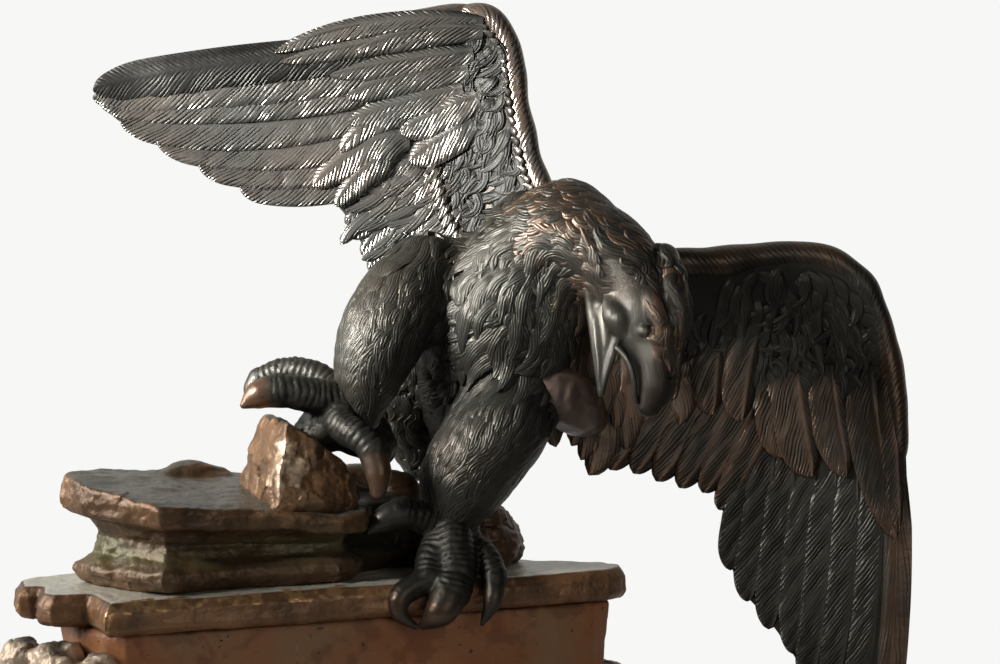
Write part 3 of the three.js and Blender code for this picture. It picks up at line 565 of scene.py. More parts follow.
def right_wing(metal):
    wing = Sheet(RIGHT_LEAD, RIGHT_TRAIL, 3.0, 6.5, 1.2)
    skin = Skin()
    wing.core(skin)
    # Each flight feather: root, bend, tip and half width. The first lies uppermost.
    flight = np.array([
        [(44, 309), (-38, 307), (-100.5, 292.5), 8.4], [(40, 304), (-34, 292), (-100.5, 289.5), 7.2],
        [(36, 298), (-46, 281), (-98, 288), 6.8], [(32, 290), (-44, 266), (-90, 281), 6.8],
        [(28, 280), (-34, 257), (-76, 273), 6.4], [(26, 272), (-24, 251), (-60, 264), 6.4],
        [(20, 262), (-14, 246), (-44, 255), 6.0]], dtype=object)
    secondaries = ([(34, 268), (40, 252), (47, 238), (54, 226)],
                   [(14, 258), (16, 245), (22, 232), (30, 220)],
                   [(-5, 246), (-1, 236), (4, 227), (9, 217), (18, 208), (30, 203)])
    # The greater coverts, which lie on the flight feathers.
    leaves = np.array([
        [(54, 321), (8, 324), (-30, 308), 4.6], [(48, 316), (10, 313), (-27, 304), 4.8],
        [(54, 317), (26, 319), (2, 308), 5.8], [(50, 308), (22, 304), (-8, 299), 5.8],
        [(48, 301), (18, 299), (-2, 290), 6.4], [(46, 293), (18, 286), (-1, 280), 6.4],
        [(32, 286), (6, 282), (-4, 268), 5.5], [(52, 290), (36, 282), (20, 276), 7.5],
        [(50, 280), (38, 272), (24, 264), 7.5], [(24, 274), (8, 274), (-15, 254), 8.0],
        [(18, 268), (6, 262), (-6, 246), 6.0]], dtype=object)
    arm = [(61, 317), (46, 322), (36, 318), (38, 296), (42, 276), (38, 266), (44, 246), (52, 232), (66, 228), (78, 238),
           (69, 262), (63, 292)]
    inner = [(16, 260), (40, 268), (52, 236), (66, 214), (46, 210), (26, 220), (14, 242)]
    # Short fringe along the rim, pointing down it.
    fringe = wing.lead[2:24:1, :2] + 8.6 * unit(wing.trail - wing.lead)[2:24, :2]
    down = unit(np.gradient(fringe, axis=0))
    across = unit(wing.trail - wing.lead)[2:24, :2]
    for side in (-1, 1):
        roots, bends, tips, halves = family(secondaries, 9, [5.6, 5.4, 5])
        lay_feathers(skin, wing, roots[::-1], bends[::-1], tips[::-1], halves, side, lift=0.2, tilt=0.6, spine=-0.4,
                     taper=0.55, slant=30.0, ruffle=0.4, rows=40)
        # shade darkens the first flight feather: painted shade.
        for k, (root, bend, tip, half) in enumerate(flight):
            lay_feathers(skin, wing, [root], [bend], [tip], [half], side, lift=1.5 - 0.2 * k, tilt=1.3,
                         spine=-0.2 if k == 0 else -0.62, camber=0.6 if k == 0 else 1.2,
                         rows=130, columns=19, taper=0.84, slant=40.0, ruffle=0.0 if k == 0 else 0.4,
                         plain_side=0.2 if k == 0 else 0.9,
                         wear=0.15, cut=0.8, shade=1.1 if k == 0 else 0.0)
        lay_coverts(skin, wing, inner, lambda p: np.full(len(p), 218.0), 19, 3.2, 4.6, 21, side, lift=0.7, wear=0.1,
                    cut=0.9, slant=8.0, wave=0.9)
        lay_feathers(skin, wing, *[list(leaves[:, k]) for k in range(4)], side, lift=2.0, tilt=0.6, spine=-0.35,
                     rows=40, columns=15, taper=0.5, neck=0.75, camber=1.1, slant=36.0, ruffle=0.3,
                     brown=0.18 * np.isin(np.arange(len(leaves)), (7, 8))[:, None, None])
        # shade darkens the arm coverts: painted shade where the key lamp falls brightest.
        lay_coverts(skin, wing, arm, lambda p: 225 + 25 * smooth(300, 240, p[:, 1]), 17, 2.7, 3.7, 31, side, lift=0.7,
                    wear=0.1, slant=8.0, cut=1.0, wave=2.4, camber=0.3, shade=1.9)
        lay_feathers(skin, wing, fringe, fringe + 3 * down, fringe + 6 * down + 2.6 * across, np.full(22, 1.4), side,
                     lift=1.0, tilt=0.3, spine=0.1, rows=10, columns=7, taper=0.3, thick=2.4, wear=0.3, cut=0.0)
        ridge = spline([(36, 266), (38, 256), (41, 246), (45, 238), (49, 230)], 11)
        lay_feathers(skin, wing, ridge, ridge + (-2, -4), ridge + (-5, -7), np.full(11, 2.4), side, lift=2.2, tilt=0.8,
                     spine=0.2, rows=16, columns=9, slant=15.0, taper=0.3, thick=3.0, wear=0.4, one_way=True)
    rim(skin, wing, 0, 25, 3.3, 5)
    rim(skin, wing, 22, 58, 1.2, 6)
    return skin.object("wing_right_feathers", metal, nodes=["wing_right"])


def left_wing(metal):
    wing = Sheet(LEFT_LEAD, LEFT_TRAIL, 4.0, 7.0, 1.3)
    skin = Skin()
    wing.core(skin)
    flight = ([(166, 152), (174, 154), (183, 154), (192, 154), (201, 155), (209, 156), (217, 156), (223, 158)],
              [(160, 118), (169, 106), (178, 100), (188, 92), (199, 86), (211, 82), (221, 80), (229, 84)],
              [(156, 96), (168, 75), (179, 67), (188, 46), (198, 31), (205, 23), (211, 19), (216, 19)])
    secondaries = ([(108, 192), (126, 186), (141, 182), (155, 178), (166, 172), (174, 164)],
                   [(102, 168), (118, 160), (132, 158), (146, 152), (157, 148), (165, 140)],
                   [(90, 150), (104, 139), (118, 136), (131, 131), (143, 129), (151, 121)])
    leaves = np.array([
        [(166, 196), (158, 176), (160, 157), 8], [(150, 190), (146, 176), (148, 160), 7.5],
        [(181, 182), (180, 156), (190, 134), 10], [(196, 180), (196, 156), (204, 134), 8],
        [(176, 172), (172, 158), (178, 142), 8], [(212, 178), (211, 150), (224, 109), 8.5],
        [(222, 186), (222, 150), (225, 112), 5.5], [(134, 190), (130, 180), (132, 166), 7]], dtype=object)
    covert = [(156, 220), (180, 223), (198, 216), (206, 202), (211, 180), (200, 172), (176, 178), (156, 182),
              (136, 186), (138, 198), (152, 206)]
    scapular = [(84, 200), (104, 204), (130, 196), (138, 184), (120, 172), (100, 158), (86, 162)]
    for side in (-1, 1):
        roots, bends, tips, halves = family(secondaries, 8, [8.6, 8.4, 7.6])
        lay_feathers(skin, wing, roots, bends, tips, halves, side, lift=0.3, tilt=1.1, spine=0.35, rows=50,
                     taper=0.55, slant=12.0, brown=0.35, ruffle=0.5)
        roots, bends, tips, halves = family(flight, 8, [7, 7.6, 7.8, 7.6, 7.2, 6.6, 6])
        lay_feathers(skin, wing, roots[:7], bends[:7], tips[:7], halves[:7], side, lift=0.3, tilt=0.8, spine=0.5,
                     rows=110, columns=17, taper=0.7, slant=34.0, ruffle=0.6, wear=0.2, cut=1.3)
        lay_feathers(skin, wing, roots[7:], bends[7:], tips[7:], halves[7:], side, lift=0.9, tilt=0.5, spine=-0.1,
                     rows=110, columns=17, taper=0.8, slant=4.0, wear=0.2, cut=0.5, brown=0.45)
        lay_feathers(skin, wing, *[list(leaves[:, k]) for k in range(4)], side, lift=1.5, tilt=0.6, spine=0.4,
                     rows=40, columns=15, taper=0.5, neck=0.75, camber=0.8, slant=24.0, ruffle=0.4, brown=0.35, cut=1.0)
        lay_coverts(skin, wing, covert, lambda p: 290 - 35 * smooth(210, 150, p[:, 0]), 17, 2.9, 3.9, 41, side,
                    lift=0.7, wear=0.1, wave=2.4, cut=0.9, slant=8.0, camber=0.4)
        lay_coverts(skin, wing, scapular, lambda p: np.full(len(p), 262.0), 22, 6.0, 7.5, 47, side, lift=1.0,
                    wear=0.2, brown=0.5, wave=0.6, cut=0.7)
    rim(skin, wing, 4, 38, 4.2, 8)
    return skin.object("wing_left_feathers", metal, nodes=["wing_left"])


def tail(metal):
    """A fan of tail feathers on a sheet over (u, w), with its core under them and coverts over their roots."""
    fan = Sheet([(64, 28, 165), (68, 54, 157), (66, 77, 149), (59, 93, 143)],
                [(34, 28, 165), (20, 53, 157), (12, 75, 149), (16, 91, 143)], 1.5, 3.5, 1.2, axes=(0, 1, 2))
    skin = Skin()
    fan.core(skin)
    family_curves = ([(58, 26), (49, 24), (40, 26)], [(61, 56), (46, 58), (30, 56)], [(57, 92), (38, 97), (18, 89)])
    for side in (-1, 1):
        roots, bends, tips, halves = family(family_curves, 8, [5.5, 6, 5.5])
        lay_feathers(skin, fan, roots, bends, tips, halves, side, lift=0.3, tilt=0.7, spine=0.0, rows=60, columns=15,
                     taper=0.75, slant=34.0, ruffle=0.3)
        outline = [(62, 30), (36, 30), (30, 52), (46, 58), (62, 52)]
        lay_coverts(skin, fan, outline, lambda p: 90 + (48 - p[:, 0]) * 1.2, 20, 5, 7, 61, side, lift=1.0)
    return skin.object("tail_feathers", metal, nodes=["tail"])


# ---- Body and head ----

TORSO = ([(87, -1, 240), (75, 4, 222), (63, 9, 200), (52, 17, 176), (46, 27, 156)], [15.5, 25.5, 30.5, 24.5, 12.5])
NECK = ([(84, -4, 235), (93, -8, 233), (105, -14, 225), (113, -20, 212)], [15.5, 16.5, 16, 13])
THIGH_RIGHT = ([(30, 6, 221), (20, -3, 206), (12, -9, 190), (8, -12, 176), (7, -13, 164)], [13.5, 16.8, 16.8, 12.8, 6])
THIGH_LEFT = ([(74, 8, 178), (64, -2, 163), (53, -8, 148), (45, -10, 135), (42, -11, 124)], [14.5, 18.8, 18.8, 17.5, 10])
SHOULDER_RIGHT = ([(70, 12, 232), (73, 20, 246), (74, 22, 253)], [15, 9.5, 4])
SHOULDER_LEFT = ([(92, 8, 230), (104, 12, 226), (120, 17, 224)], [14, 11, 6])
FLANK = ([(48, 14, 222), (34, 22, 200), (27, 28, 181), (22, 33, 163), (25, 34, 149), (27, 34, 139)],
         [12, 14, 14, 13.5, 12, 5])
ARMPIT = ([(75, -5, 180), (81, -3, 174), (89, 3, 168), (97, 12, 160)], [6, 10, 12, 8])
RUMP = ([(48, 26, 164), (46, 42, 161), (44, 56, 157)], [11, 10, 6])


def body_form():
    form = Form((-14, -46, 108), (138, 72, 270), BODY_STEP)
    form.limb(*TORSO, flat=0.86, blend=6)
    form.limb(*SHOULDER_RIGHT, flat=0.7, blend=9)
    form.limb(*SHOULDER_LEFT, flat=0.8, blend=9)
    form.limb(*NECK, blend=9)
    form.limb(*RUMP, blend=7)
    form.limb(*FLANK, flat=0.8, blend=6)
    form.limb(*THIGH_RIGHT, blend=9)
    form.limb(*THIGH_LEFT, blend=9)
    return form


def away_from(points, limb):
    """How far points lie from the middle line of a limb."""
    return np.linalg.norm(points[:, None] - spline(limb[0], 12)[None], axis=-1).min(1)


def flow_guides():
    """(points, directions, reach): which way the plumage is combed near each."""
    guides = []
    for (path, radii), sense in ((TORSO, 1), (NECK, -1), (THIGH_RIGHT, 1), (THIGH_LEFT, 1), (RUMP, 1), (FLANK, 1),
                                 (SHOULDER_RIGHT, 1), (SHOULDER_LEFT, 1)):
        p = spline(path, 9)
        guides.append((p, sense * unit(np.gradient(p, axis=0)), spread(radii, 9)))
    return [np.concatenate(part) for part in zip(*guides)]


GUIDES = flow_guides()


def flow(points):
    at, direction, reach = GUIDES
    gap = np.linalg.norm(points[..., None, :] - at, axis=-1) - reach
    weight = np.exp(-np.clip(gap, -4, 60) / 3.5)
    return unit((weight[..., None] * direction).sum(-2))


def tufts(skin, form, seeds, length, half, rise, wave=0.55, brown=0.0, comb=flow, rows=14, columns=9, lines=1.15,
          phase_size=30.0, shade=0.0):
    """Locks of plumage that start at seeds on a form and follow the comb."""
    n = len(seeds)
    size = 0.7 + 0.6 * rng.rand(n)[:, None]
    path = [form.snap(seeds, 2)]
    step = length * size / (rows - 1)
    phase = 2.5 * noise(seeds, phase_size, 1)[:, None] + 0.35 * rng.rand(n)[:, None]
    for k in range(rows - 1):
        p = path[-1]
        normal = form.normal(p)
        ahead = comb(p)
        ahead = unit(ahead - normal * (ahead * normal).sum(-1, keepdims=True))
        swing = wave * np.sin(2 * np.pi * k / (rows - 1) + 2 * phase)
        ahead = unit(ahead + np.cross(normal, ahead) * swing)
        path.append(form.snap(p + ahead * step, 1))
    path = np.stack(path, 1)
    normal = form.normal(path)
    ahead = unit(np.gradient(path, axis=1))
    beside = np.cross(normal, ahead)
    t = np.linspace(0, 1, rows)[None, :, None]
    s = np.linspace(-1, 1, columns)[None, None, :]
    width = half * size[..., None] * np.sin(np.pi * np.clip(0.12 + 0.88 * t, 0, 1)**0.8)**0.75 + 0.12
    x = width * s
    spread_out = form.snap(path[:, :, None] + beside[:, :, None] * x[..., None], 1)
    height = -0.5 + (0.5 + rise) * smooth(0, 0.8, t) + 0.75 * (1 - s**2) * np.sin(np.pi * t**0.8) ** 0.6 + 0 * x
    up = form.normal(spread_out)
    top = spread_out + up * height[..., None]
    bottom = top - up * 1.4
    points = np.stack([top.reshape(n, -1, 3), bottom.reshape(n, -1, 3)], 1).reshape(-1, 3)
    quads = repeated(shell_quads(rows, columns), 2 * rows * columns, n)
    run = t * length * size[..., None]
    own = rng.rand(n)[:, None, None]
    grain = np.stack([x / lines + own * 9 + 0.35 * np.sin(run / 3.0 + 9 * own), run + 0 * x, own * 97 + 0 * x], -1)
    if not np.ndim(brown):
        brown = np.full(n, brown)
    tip = smooth(0.7, 1, t) + 0 * x
    # The third value is darker at the root; shade adds painted shade.
    values = (0.9 * smooth(0, 0.2, t) + 0 * x, brown[:, None, None] + 0.25 * tip, shade + 0.75 * (1 - smooth(0, 0.35, t)) + 0 * x)
    both = [np.stack([v.reshape(n, -1)] * 2, 1).ravel() for v in values]
    skin.add(points, quads, np.stack([grain.reshape(n, -1, 3)] * 2, 1).reshape(-1, 3), *both)


def seeds_on(vertices, spacing, seed):
    """About one vertex in each cell of the given size."""
    order = np.random.RandomState(seed).permutation(len(vertices))
    cells = np.floor(vertices[order] / spacing).astype(int)
    _, first = np.unique(cells, axis=0, return_index=True)
    return vertices[order[first]]


def edges(form, points, reach):
    """(raised, sheltered): how far each point stands out of the form, or lies in a hollow of it."""
    normal = form.normal(points)
    raised = (form.sample(points - normal * reach) + reach) / reach
    sheltered = (reach - form.sample(points + normal * reach)) / reach
    return np.clip(raised, 0, 1), np.clip(sheltered, 0, 1)


HEAD_LOW, HEAD_HIGH = (84, -50, 156), (146, 0, 240)
EYE = (116.4, -33.4, 198.6)


def head_form():
    form = Form(HEAD_LOW, HEAD_HIGH, FINE_STEP)
    # Skull, beak, cheek, brow and the plumage that hangs beside the eye.
    form.limb([(110, -17, 218), (113.5, -20, 208), (116, -22, 198)], [14, 14, 11.5], blend=3)
    form.limb([(117, -24, 194), (120, -27.0, 186), (121.6, -29, 178), (118.8, -29.5, 169.5)], [9.5, 7.6, 7.6, 5.0], blend=2)
    form.limb([(103.5, -28, 208), (105.6, -30.5, 203.5), (107.5, -29, 198)], [4, 5.2, 3.6], blend=2)
    form.limb([(116.5, -29, 215), (120.2, -32, 208), (122.2, -33.2, 199), (122.6, -32, 190)], [2.5, 4.0, 4.2, 2.6], blend=1.5)
    form.limb([(125, -18, 226), (128, -23, 214), (128.6, -25, 201), (125.5, -26, 189)], [6, 6.5, 6.5, 3], blend=2)
    # Eye, its ring, the mouth's edge and the open mouth, and the nostril.
    form.limb([EYE, (EYE[0] + 0.1, EYE[1] - 2.5, EYE[2])], [3.9, 3.9], blend=1.4, carve=True)
    form.limb([(EYE[0], EYE[1] + 1.0, EYE[2]), (EYE[0], EYE[1] + 0.8, EYE[2])], [2.9, 2.9], blend=0.4)
    lid = [(EYE[0] + 3.6 * math.cos(a), EYE[1] + 0.5, EYE[2] + 3.6 * math.sin(a)) for a in np.linspace(0.8, 5.4, 13)]
    form.limb(lid, [0.8, 0.8], blend=0.8, n=30)
    form.limb([(104.5, -30, 193), (108.5, -33, 189.5), (111.9, -33.5, 182), (113.4, -33, 171)], [1.2, 1.3, 1.2, 0.9],
              blend=1.5)
    form.limb([(105.5, -33, 180), (106, -29, 180), (107, -24, 182)], [5.0, 5.2, 5.2], blend=1.5, carve=True)
    form.limb([(127.2, -36, 181.0), (126.6, -33.2, 181.2)], [1.5, 1.5], blend=0.8, carve=True)
    return form


def head_comb(points):
    """The head's plumage runs back from the beak and falls down at its side."""
    fall = smooth(120, 127, points[..., 0:1])
    back = unit(np.array([-0.35, 0.45, 0.85]) + 0 * points)
    return unit(back * (1 - fall) + np.array([-0.12, -0.05, -1.0]) * fall)


def eagle(metal):
    skin = Skin()
    form = body_form()
    vertices, quads = form.skin()
    grain = np.stack([noise(vertices, 4.0, 2) * 3, vertices[:, 2], vertices[:, 0] * 0], -1)
    at_head = smooth(90, 102, vertices[:, 0]) * smooth(200, 212, vertices[:, 2])
    skin.add(vertices, quads, grain, 0.3, 0.3 * at_head, 0.6 - 0.35 * at_head)
    seeds = seeds_on(vertices, 5.2, 11)
    seeds = seeds[away_from(seeds, ARMPIT) > 10]
    face = (seeds[:, 0] > 104) & (seeds[:, 1] < -22) & (seeds[:, 2] < 213)
    seeds = seeds[~face]
    on_thigh = (away_from(seeds, THIGH_RIGHT) < 22) | (away_from(seeds, THIGH_LEFT) < 25)
    brown = 0.5 * smooth(0.0, 0.7, noise(seeds, 40, 2)) + 0.5 * smooth(250, 228, seeds[:, 2]) * (seeds[:, 0] > 96)
    nape = (seeds[:, 0] > 80) & (seeds[:, 2] > 236 - 0.5 * (seeds[:, 0] - 76)) & (seeds[:, 1] < 12)
    plumage = ~on_thigh & ~nape
    tufts(skin, form, seeds[plumage], 16, 3.1, 1.7, wave=1.0, brown=0.6 * brown[plumage], lines=1.3)
    tufts(skin, form, seeds[nape], 26, 3.4, 1.2, wave=0.9, brown=0.15 + 0.4 * rng.rand(nape.sum()), rows=20, lines=1.5)
    mane = (seeds[:, 0] > 62) & (seeds[:, 1] < 2) & (seeds[:, 2] > 205) & ~nape
    tufts(skin, form, seeds[mane][::2], 34, 3.6, 2.2, wave=0.45, brown=0.4 * brown[mane][::2], rows=24, lines=1.0)
    tufts(skin, form, seeds[on_thigh], 25, 3.6, 0.7, wave=0.4, brown=0.5 * brown[on_thigh], rows=18, lines=1.05)

    head = head_form()
    vertices, quads = head.skin()
    raised, sheltered = edges(head, vertices, 1.6)
    beak = smooth(189, 184, vertices[:, 2]) * smooth(112, 117, vertices[:, 0])
    brow = smooth(118, 121, vertices[:, 0]) * smooth(184, 190, vertices[:, 2])
    skull = 0.15 * smooth(208, 214, vertices[:, 2])
    from_eye = np.linalg.norm(vertices - np.array(EYE), axis=-1)
    socket = smooth(5.8, 4.8, from_eye) * smooth(3.0, 3.6, from_eye)
    # Darker in the head's hollows, and painted shade over the beak and in a ring round the eye.
    shade = np.clip(0.8 * sheltered + 1.3 * beak + 0.8 * socket, 0, 1)
    grain = np.stack([vertices[:, 0] / 1.3 + noise(vertices, 12.0, 2), vertices[:, 2], 0 * vertices[:, 0]], -1)
    plain_face = 0.15 + 0.6 * smooth(122, 128, vertices[:, 0]) * smooth(184, 192, vertices[:, 2])
    skin.add(vertices, quads, grain, plain_face, np.clip(0.1 + 0.45 * beak + 0.45 * brow + skull + 0.2 * raised, 0, 1), shade)
    seeds = seeds_on(vertices, 5.4, 12)
    x, w, z = seeds.T
    nape = (z > 212) | ((w > -24) & (z > 196))
    side = (x > 121.5) & (z > 190) & ~nape
    # shade darkens the tufts on the top of the head: painted shade.
    tufts(skin, head, seeds[nape], 14, 2.4, 0.9, wave=1.0, brown=0.3, comb=head_comb, rows=14, columns=7, lines=1.4,
          shade=0.5)
    tufts(skin, head, seeds[side], 18, 2.2, 0.7, wave=0.3, brown=0.5, comb=head_comb, rows=14, columns=7, lines=0.9)
    return skin.object("eagle_body", metal, nodes=["torso", "neck_and_head", "thigh_right", "thigh_left"])


def armpit(metal):
    """The bare brown patch between breast, thigh and left wing; its lighter material is its own brown with painted
    light, as it lies in shade.
    """
    form = Form((54, -22, 142), (116, 32, 204), FINE_STEP)
    form.limb(*ARMPIT, blend=3)
    vertices, quads = form.skin()
    vertices = vertices + form.normal(vertices) * (1.3 * noise(vertices, 11.0, 3))[:, None]
    skin = Skin()
    skin.add(vertices, quads, None, 0.0, 0.5 + 0.5 * noise(vertices, 14.0, 2), 0.5 * smooth(0.1, -0.4, noise(vertices, 11.0, 3)))
    return skin.object("armpit_patch", metal)


def beak_below(metal):
    form = Form((90, -40, 164), (112, -15, 219), 0.45)
    form.limb([(101, -26, 207), (101.6, -28.2, 195), (100.8, -29.8, 184), (99.9, -30.8, 174.5)], [5, 4.0, 2.5, 1.0],
              blend=1)
    form.limb([(96.4, -21, 213), (97.2, -27, 206), (98.2, -30, 194), (99.1, -31, 182), (99.8, -31, 173.5)],
              [2.8, 3.0, 2.4, 1.7, 0.9], blend=1)
    form.limb([(105.6, -29.5, 195), (103.4, -31, 187), (101.6, -31.2, 180), (100.4, -31, 174)], [2.4, 1.9, 1.4, 0.8], blend=1)
    skin = Skin()
    vertices, quads = form.skin()
    raised, sheltered = edges(form, vertices, 1.0)
    skin.add(vertices, quads, None, 0.0, 0.1 + 0.4 * raised, sheltered)
    return skin.object("beak_below", metal, nodes=["lower_beak"])


# ---- Feet ----

TOE_RADII = [6.4, 6.8, 6.6, 5.6]
SLIM_CLAW = [5, 4.2, 1.1]
FAT_CLAW = [6, 5, 1.3]
BLUNT_CLAW = [5.6, 5.3, 3.0]
# Each toe: its path, its size, its claw's path and radii, and how gilt the claw is.
FOOT_RIGHT = dict(
    pads=[([(2, -10, 170), (-5, -9, 162), (-13, -9, 155)], [8, 11, 9]),
          ([(-6, -6, 160), (5, -2, 154), (12, 2, 150)], [9, 8.5, 7])],
    toes=[
        ([(0, -13, 170), (-12, -18, 172), (-22, -21, 174), (-29, -22, 174)], 1.12,
         [(-26, -22, 174.5), (-33, -24, 173), (-39, -26, 169)], FAT_CLAW, 1.0),
        ([(-2, -6, 172), (-14, -2, 179), (-26, 0, 180), (-35, 0, 177)], 0.95,
         [(-32, 0, 178), (-38, -1, 174), (-40, -2, 169)], SLIM_CLAW, 0.3),
        ([(-2, -14, 168), (-1, -22, 161), (6, -28, 157), (12, -31, 152)], 1.0,
         [(11.5, -31, 151), (13.8, -33, 143), (13.6, -34, 136)], BLUNT_CLAW, 0.5),
        ([(0, -6, 166), (6, 2, 163), (12, 8, 156)], 0.9, [(11, 7, 157), (16, 11, 148), (13, 10, 140)], SLIM_CLAW,
         0.3)])
FOOT_LEFT = dict(
    pads=[([(45, -11, 124), (44, -11, 112), (47, -8, 104)], [8, 9, 8])],
    toes=[
        ([(41, -16, 120), (43, -22, 111), (44, -27, 103), (43, -31, 96)], 1.28,
         [(42, -31, 98), (38, -36, 90), (31, -35, 84)], FAT_CLAW, 0.35),
        ([(38, -15, 116), (35, -22, 109), (33, -29, 102)], 1.1,
         [(33, -29, 101), (23, -34, 96), (22, -36, 89), (28, -34, 83.5)], SLIM_CLAW, 0.35),
        ([(47, -12, 114), (55, -18, 108), (59, -25, 101)], 0.9, [(59, -25, 102), (58, -30, 93), (54, -31, 84)],
         SLIM_CLAW, 0.1),
        ([(41, -11, 119), (33, -15, 122), (27, -18, 125), (22, -20, 126)], 1.05,
         [(23, -20, 126), (16, -22, 124), (9.5, -24, 119)], FAT_CLAW, 0.25)])


def foot(name, shape, metal, node):
    parts = [pad[0] for pad in shape["pads"]] + [toe[0] + toe[2] for toe in shape["toes"]]
    form_points = np.vstack(parts)
    form = Form(form_points.min(0) - 13, form_points.max(0) + 13, FINE_STEP)
    for pad in shape["pads"]:
        form.limb(*pad, blend=3)
    for toe, size, claw, claw_radii, gilt in shape["toes"]:
        form.limb(toe, [0.93 * size * r for r in TOE_RADII], blend=2.5)
        form.limb(claw, [size * r for r in claw_radii], blend=1.2, n=18)
    vertices, quads = form.skin()
    normal = form.normal(vertices)
    scute = np.zeros(len(vertices))
    shine = np.zeros(len(vertices))
    gold = np.zeros(len(vertices))
    nearest = np.full(len(vertices), 99.0)
    for toe, size, claw, claw_radii, gilt in shape["toes"]:
        path = spline(toe, 60)
        gap = np.linalg.norm(vertices[:, None] - path[None], axis=-1)
        which = gap.argmin(1)
        gap = gap.min(1)
        run = which * np.linalg.norm(path[1] - path[0])
        band = np.abs(np.sin(np.pi * run / 2.5 + 0.9 * noise(vertices, 6, 1)))**0.6
        closer = gap < nearest
        scute = np.where(closer, band, scute)
        nearest = np.minimum(nearest, gap)
        to_claw = np.linalg.norm(vertices[:, None] - spline(claw, 30)[None, 3:], axis=-1).min(1)
        on_claw = smooth(1.2, -0.6, to_claw - size * claw_radii[1]) * (to_claw < gap)
        shine = np.maximum(shine, on_claw)
        gold = np.maximum(gold, gilt * on_claw)
    upper = smooth(-0.5, 0.35, normal[:, 2] - 0.4 * normal[:, 1])
    vertices = vertices + normal * ((scute - 0.75) * 0.5 * upper * (1 - shine) + 0.2 * noise(vertices, 3.0, 2) * (1 - shine))[:, None]
    raised, sheltered = edges(form, vertices, 1.5)
    skin = Skin()
    wear = np.clip(0.05 + 0.12 * scute * upper + gold, 0, 1)
    hollow = np.clip(0.35 * (1 - shine) + (1 - scute) * upper * (1 - shine) * 0.7 + 0.6 * sheltered, 0, 1)
    skin.add(vertices, quads, None, 0.0, wear, hollow)
    return skin.object(name, metal, nodes=[node])


# ---- Rocks and plinth ----

SLAB_PLAN = [(-108, -40), (-60, -41), (0, -40), (60, -41), (98, -39), (108, -33), (111, -24), (107, -14), (84, -2),
             (52, 18), (16, 34), (-30, 40), (-80, 41), (-118, 37), (-129, 28), (-131, 12), (-124, 8), (-127, -6),
             (-123, -14), (-110, -17)]
BODY_PLAN = [(-99, -36), (-48, -37), (0, -36), (50, -37), (92, -36), (102, -31), (102, -21), (82, -6), (50, 14),
             (14, 30), (-30, 36), (-76, 36), (-106, 32), (-114, 14), (-112, -8), (-106, -28)]
GROUND_PLAN = [(-104, -46), (-50, -48), (0, -46), (52, -48), (94, -44), (112, -36), (116, -20), (98, 0), (70, 24),
               (30, 42), (-26, 48), (-80, 48), (-116, 40), (-128, 16), (-126, -10), (-116, -36)]
LEDGE_PLAN = [(-86, -36), (-50, -32), (-14, -36), (-3, -31), (4, -16), (22, -8), (30, 0), (18, 18), (-12, 31),
              (-62, 34), (-96, 28), (-112, 14), (-108, -4)]
KNOB_PLAN = [(-48, -24), (-38, -31), (-22, -31), (-7, -26), (-1, -8), (-8, 8), (-24, 15), (-40, 11), (-48, -2)]
LEDGE_TOP = 138.0
LEDGE_RISE = 0.12              # of its top towards the back, per millimetre
LEDGE_FALL = 0.09              # of its top layer towards the eagle's left


def plan_gap(x, y, plan):
    """Signed distance in plan to a closed outline, negative inside."""
    ring = np.array(plan, float)
    best = np.full(x.shape, 999.0)
    odd = np.zeros(x.shape, bool)
    for (x0, y0), (x1, y1) in zip(ring, np.roll(ring, -1, 0)):
        dx, dy = x1 - x0, y1 - y0
        h = np.clip(((x - x0) * dx + (y - y0) * dy) / (dx * dx + dy * dy), 0, 1)
        best = np.minimum(best, np.hypot(x - x0 - h * dx, y - y0 - h * dy))
        if dy:
            odd ^= ((y0 > y) != (y1 > y)) & (x < x0 + (y - y0) * dx / dy)
    return np.where(odd, -best, best)


def rounded_max(a, b, radius):
    h = np.clip(0.5 + 0.5 * (a - b) / radius, 0, 1)
    return b * (1 - h) + a * h + radius * h * (1 - h)


def stone_form(plan, levels, step=0.8, edge=2.0, cuts=(), fall=0.0):
    """A block of stone: an outline, inset by levels (z, inset), and trimmed by planes (normal, offset). fall lowers
    its upper layers along x."""
    z0, z1 = levels[0][0], levels[-1][0]
    ring = np.array(plan, float)
    grow = 3 - min(0, min(inset for _, inset in levels))
    form = Form((*(ring.min(0) - grow), z0 - 3), (*(ring.max(0) + grow), z1 + 3), step)
    block, (x, y, z) = form.everywhere()
    level = z + fall * (x + 80) * smooth(106, 124, z)
    gap = plan_gap(x[:, :, 0], y[:, :, 0], plan)[:, :, None] + np.interp(level, *zip(*levels))
    value = rounded_max(gap, np.maximum(z - z1, z0 - z), edge)
    for normal, offset in cuts:
        n = np.array(normal, float) / np.linalg.norm(normal)
        value = rounded_max(value, n[0] * x + n[1] * y + n[2] * z - offset, edge)
    form.value[block] = value
    return form


def hewn(form, relief, chip, seed, lines=0.0):
    """The form's skin with chipped faces: (vertices, quads, normals, raised, sheltered)."""
    vertices, quads = form.skin()
    normal = form.normal(vertices)
    chipped = facets(vertices + 3 * np.stack([noise(vertices + 50 * k, 14, 2) for k in range(3)], -1), chip, seed)
    fine = noise(vertices, 5.0, 3)
    push = relief * (0.22 * chipped + 0.55 * noise(vertices, chip, 2) + 0.3 * fine)
    if lines:
        push = push + lines * noise(vertices * (0.25, 1, 1.6), 5.0, 2)
    raised, sheltered = edges(form, vertices, 3.0)
    push = push - 0.8 * raised * np.abs(noise(vertices, 7, 2)) * relief
    moved = vertices + normal * push[:, None]
    crest = np.clip(raised + 0.35 * smooth(0.2, 1.0, fine), 0, 1)
    hollow = np.clip(sheltered + 0.5 * smooth(-0.2, -1.0, chipped + fine), 0, 1)
    return moved, quads, normal, crest, hollow


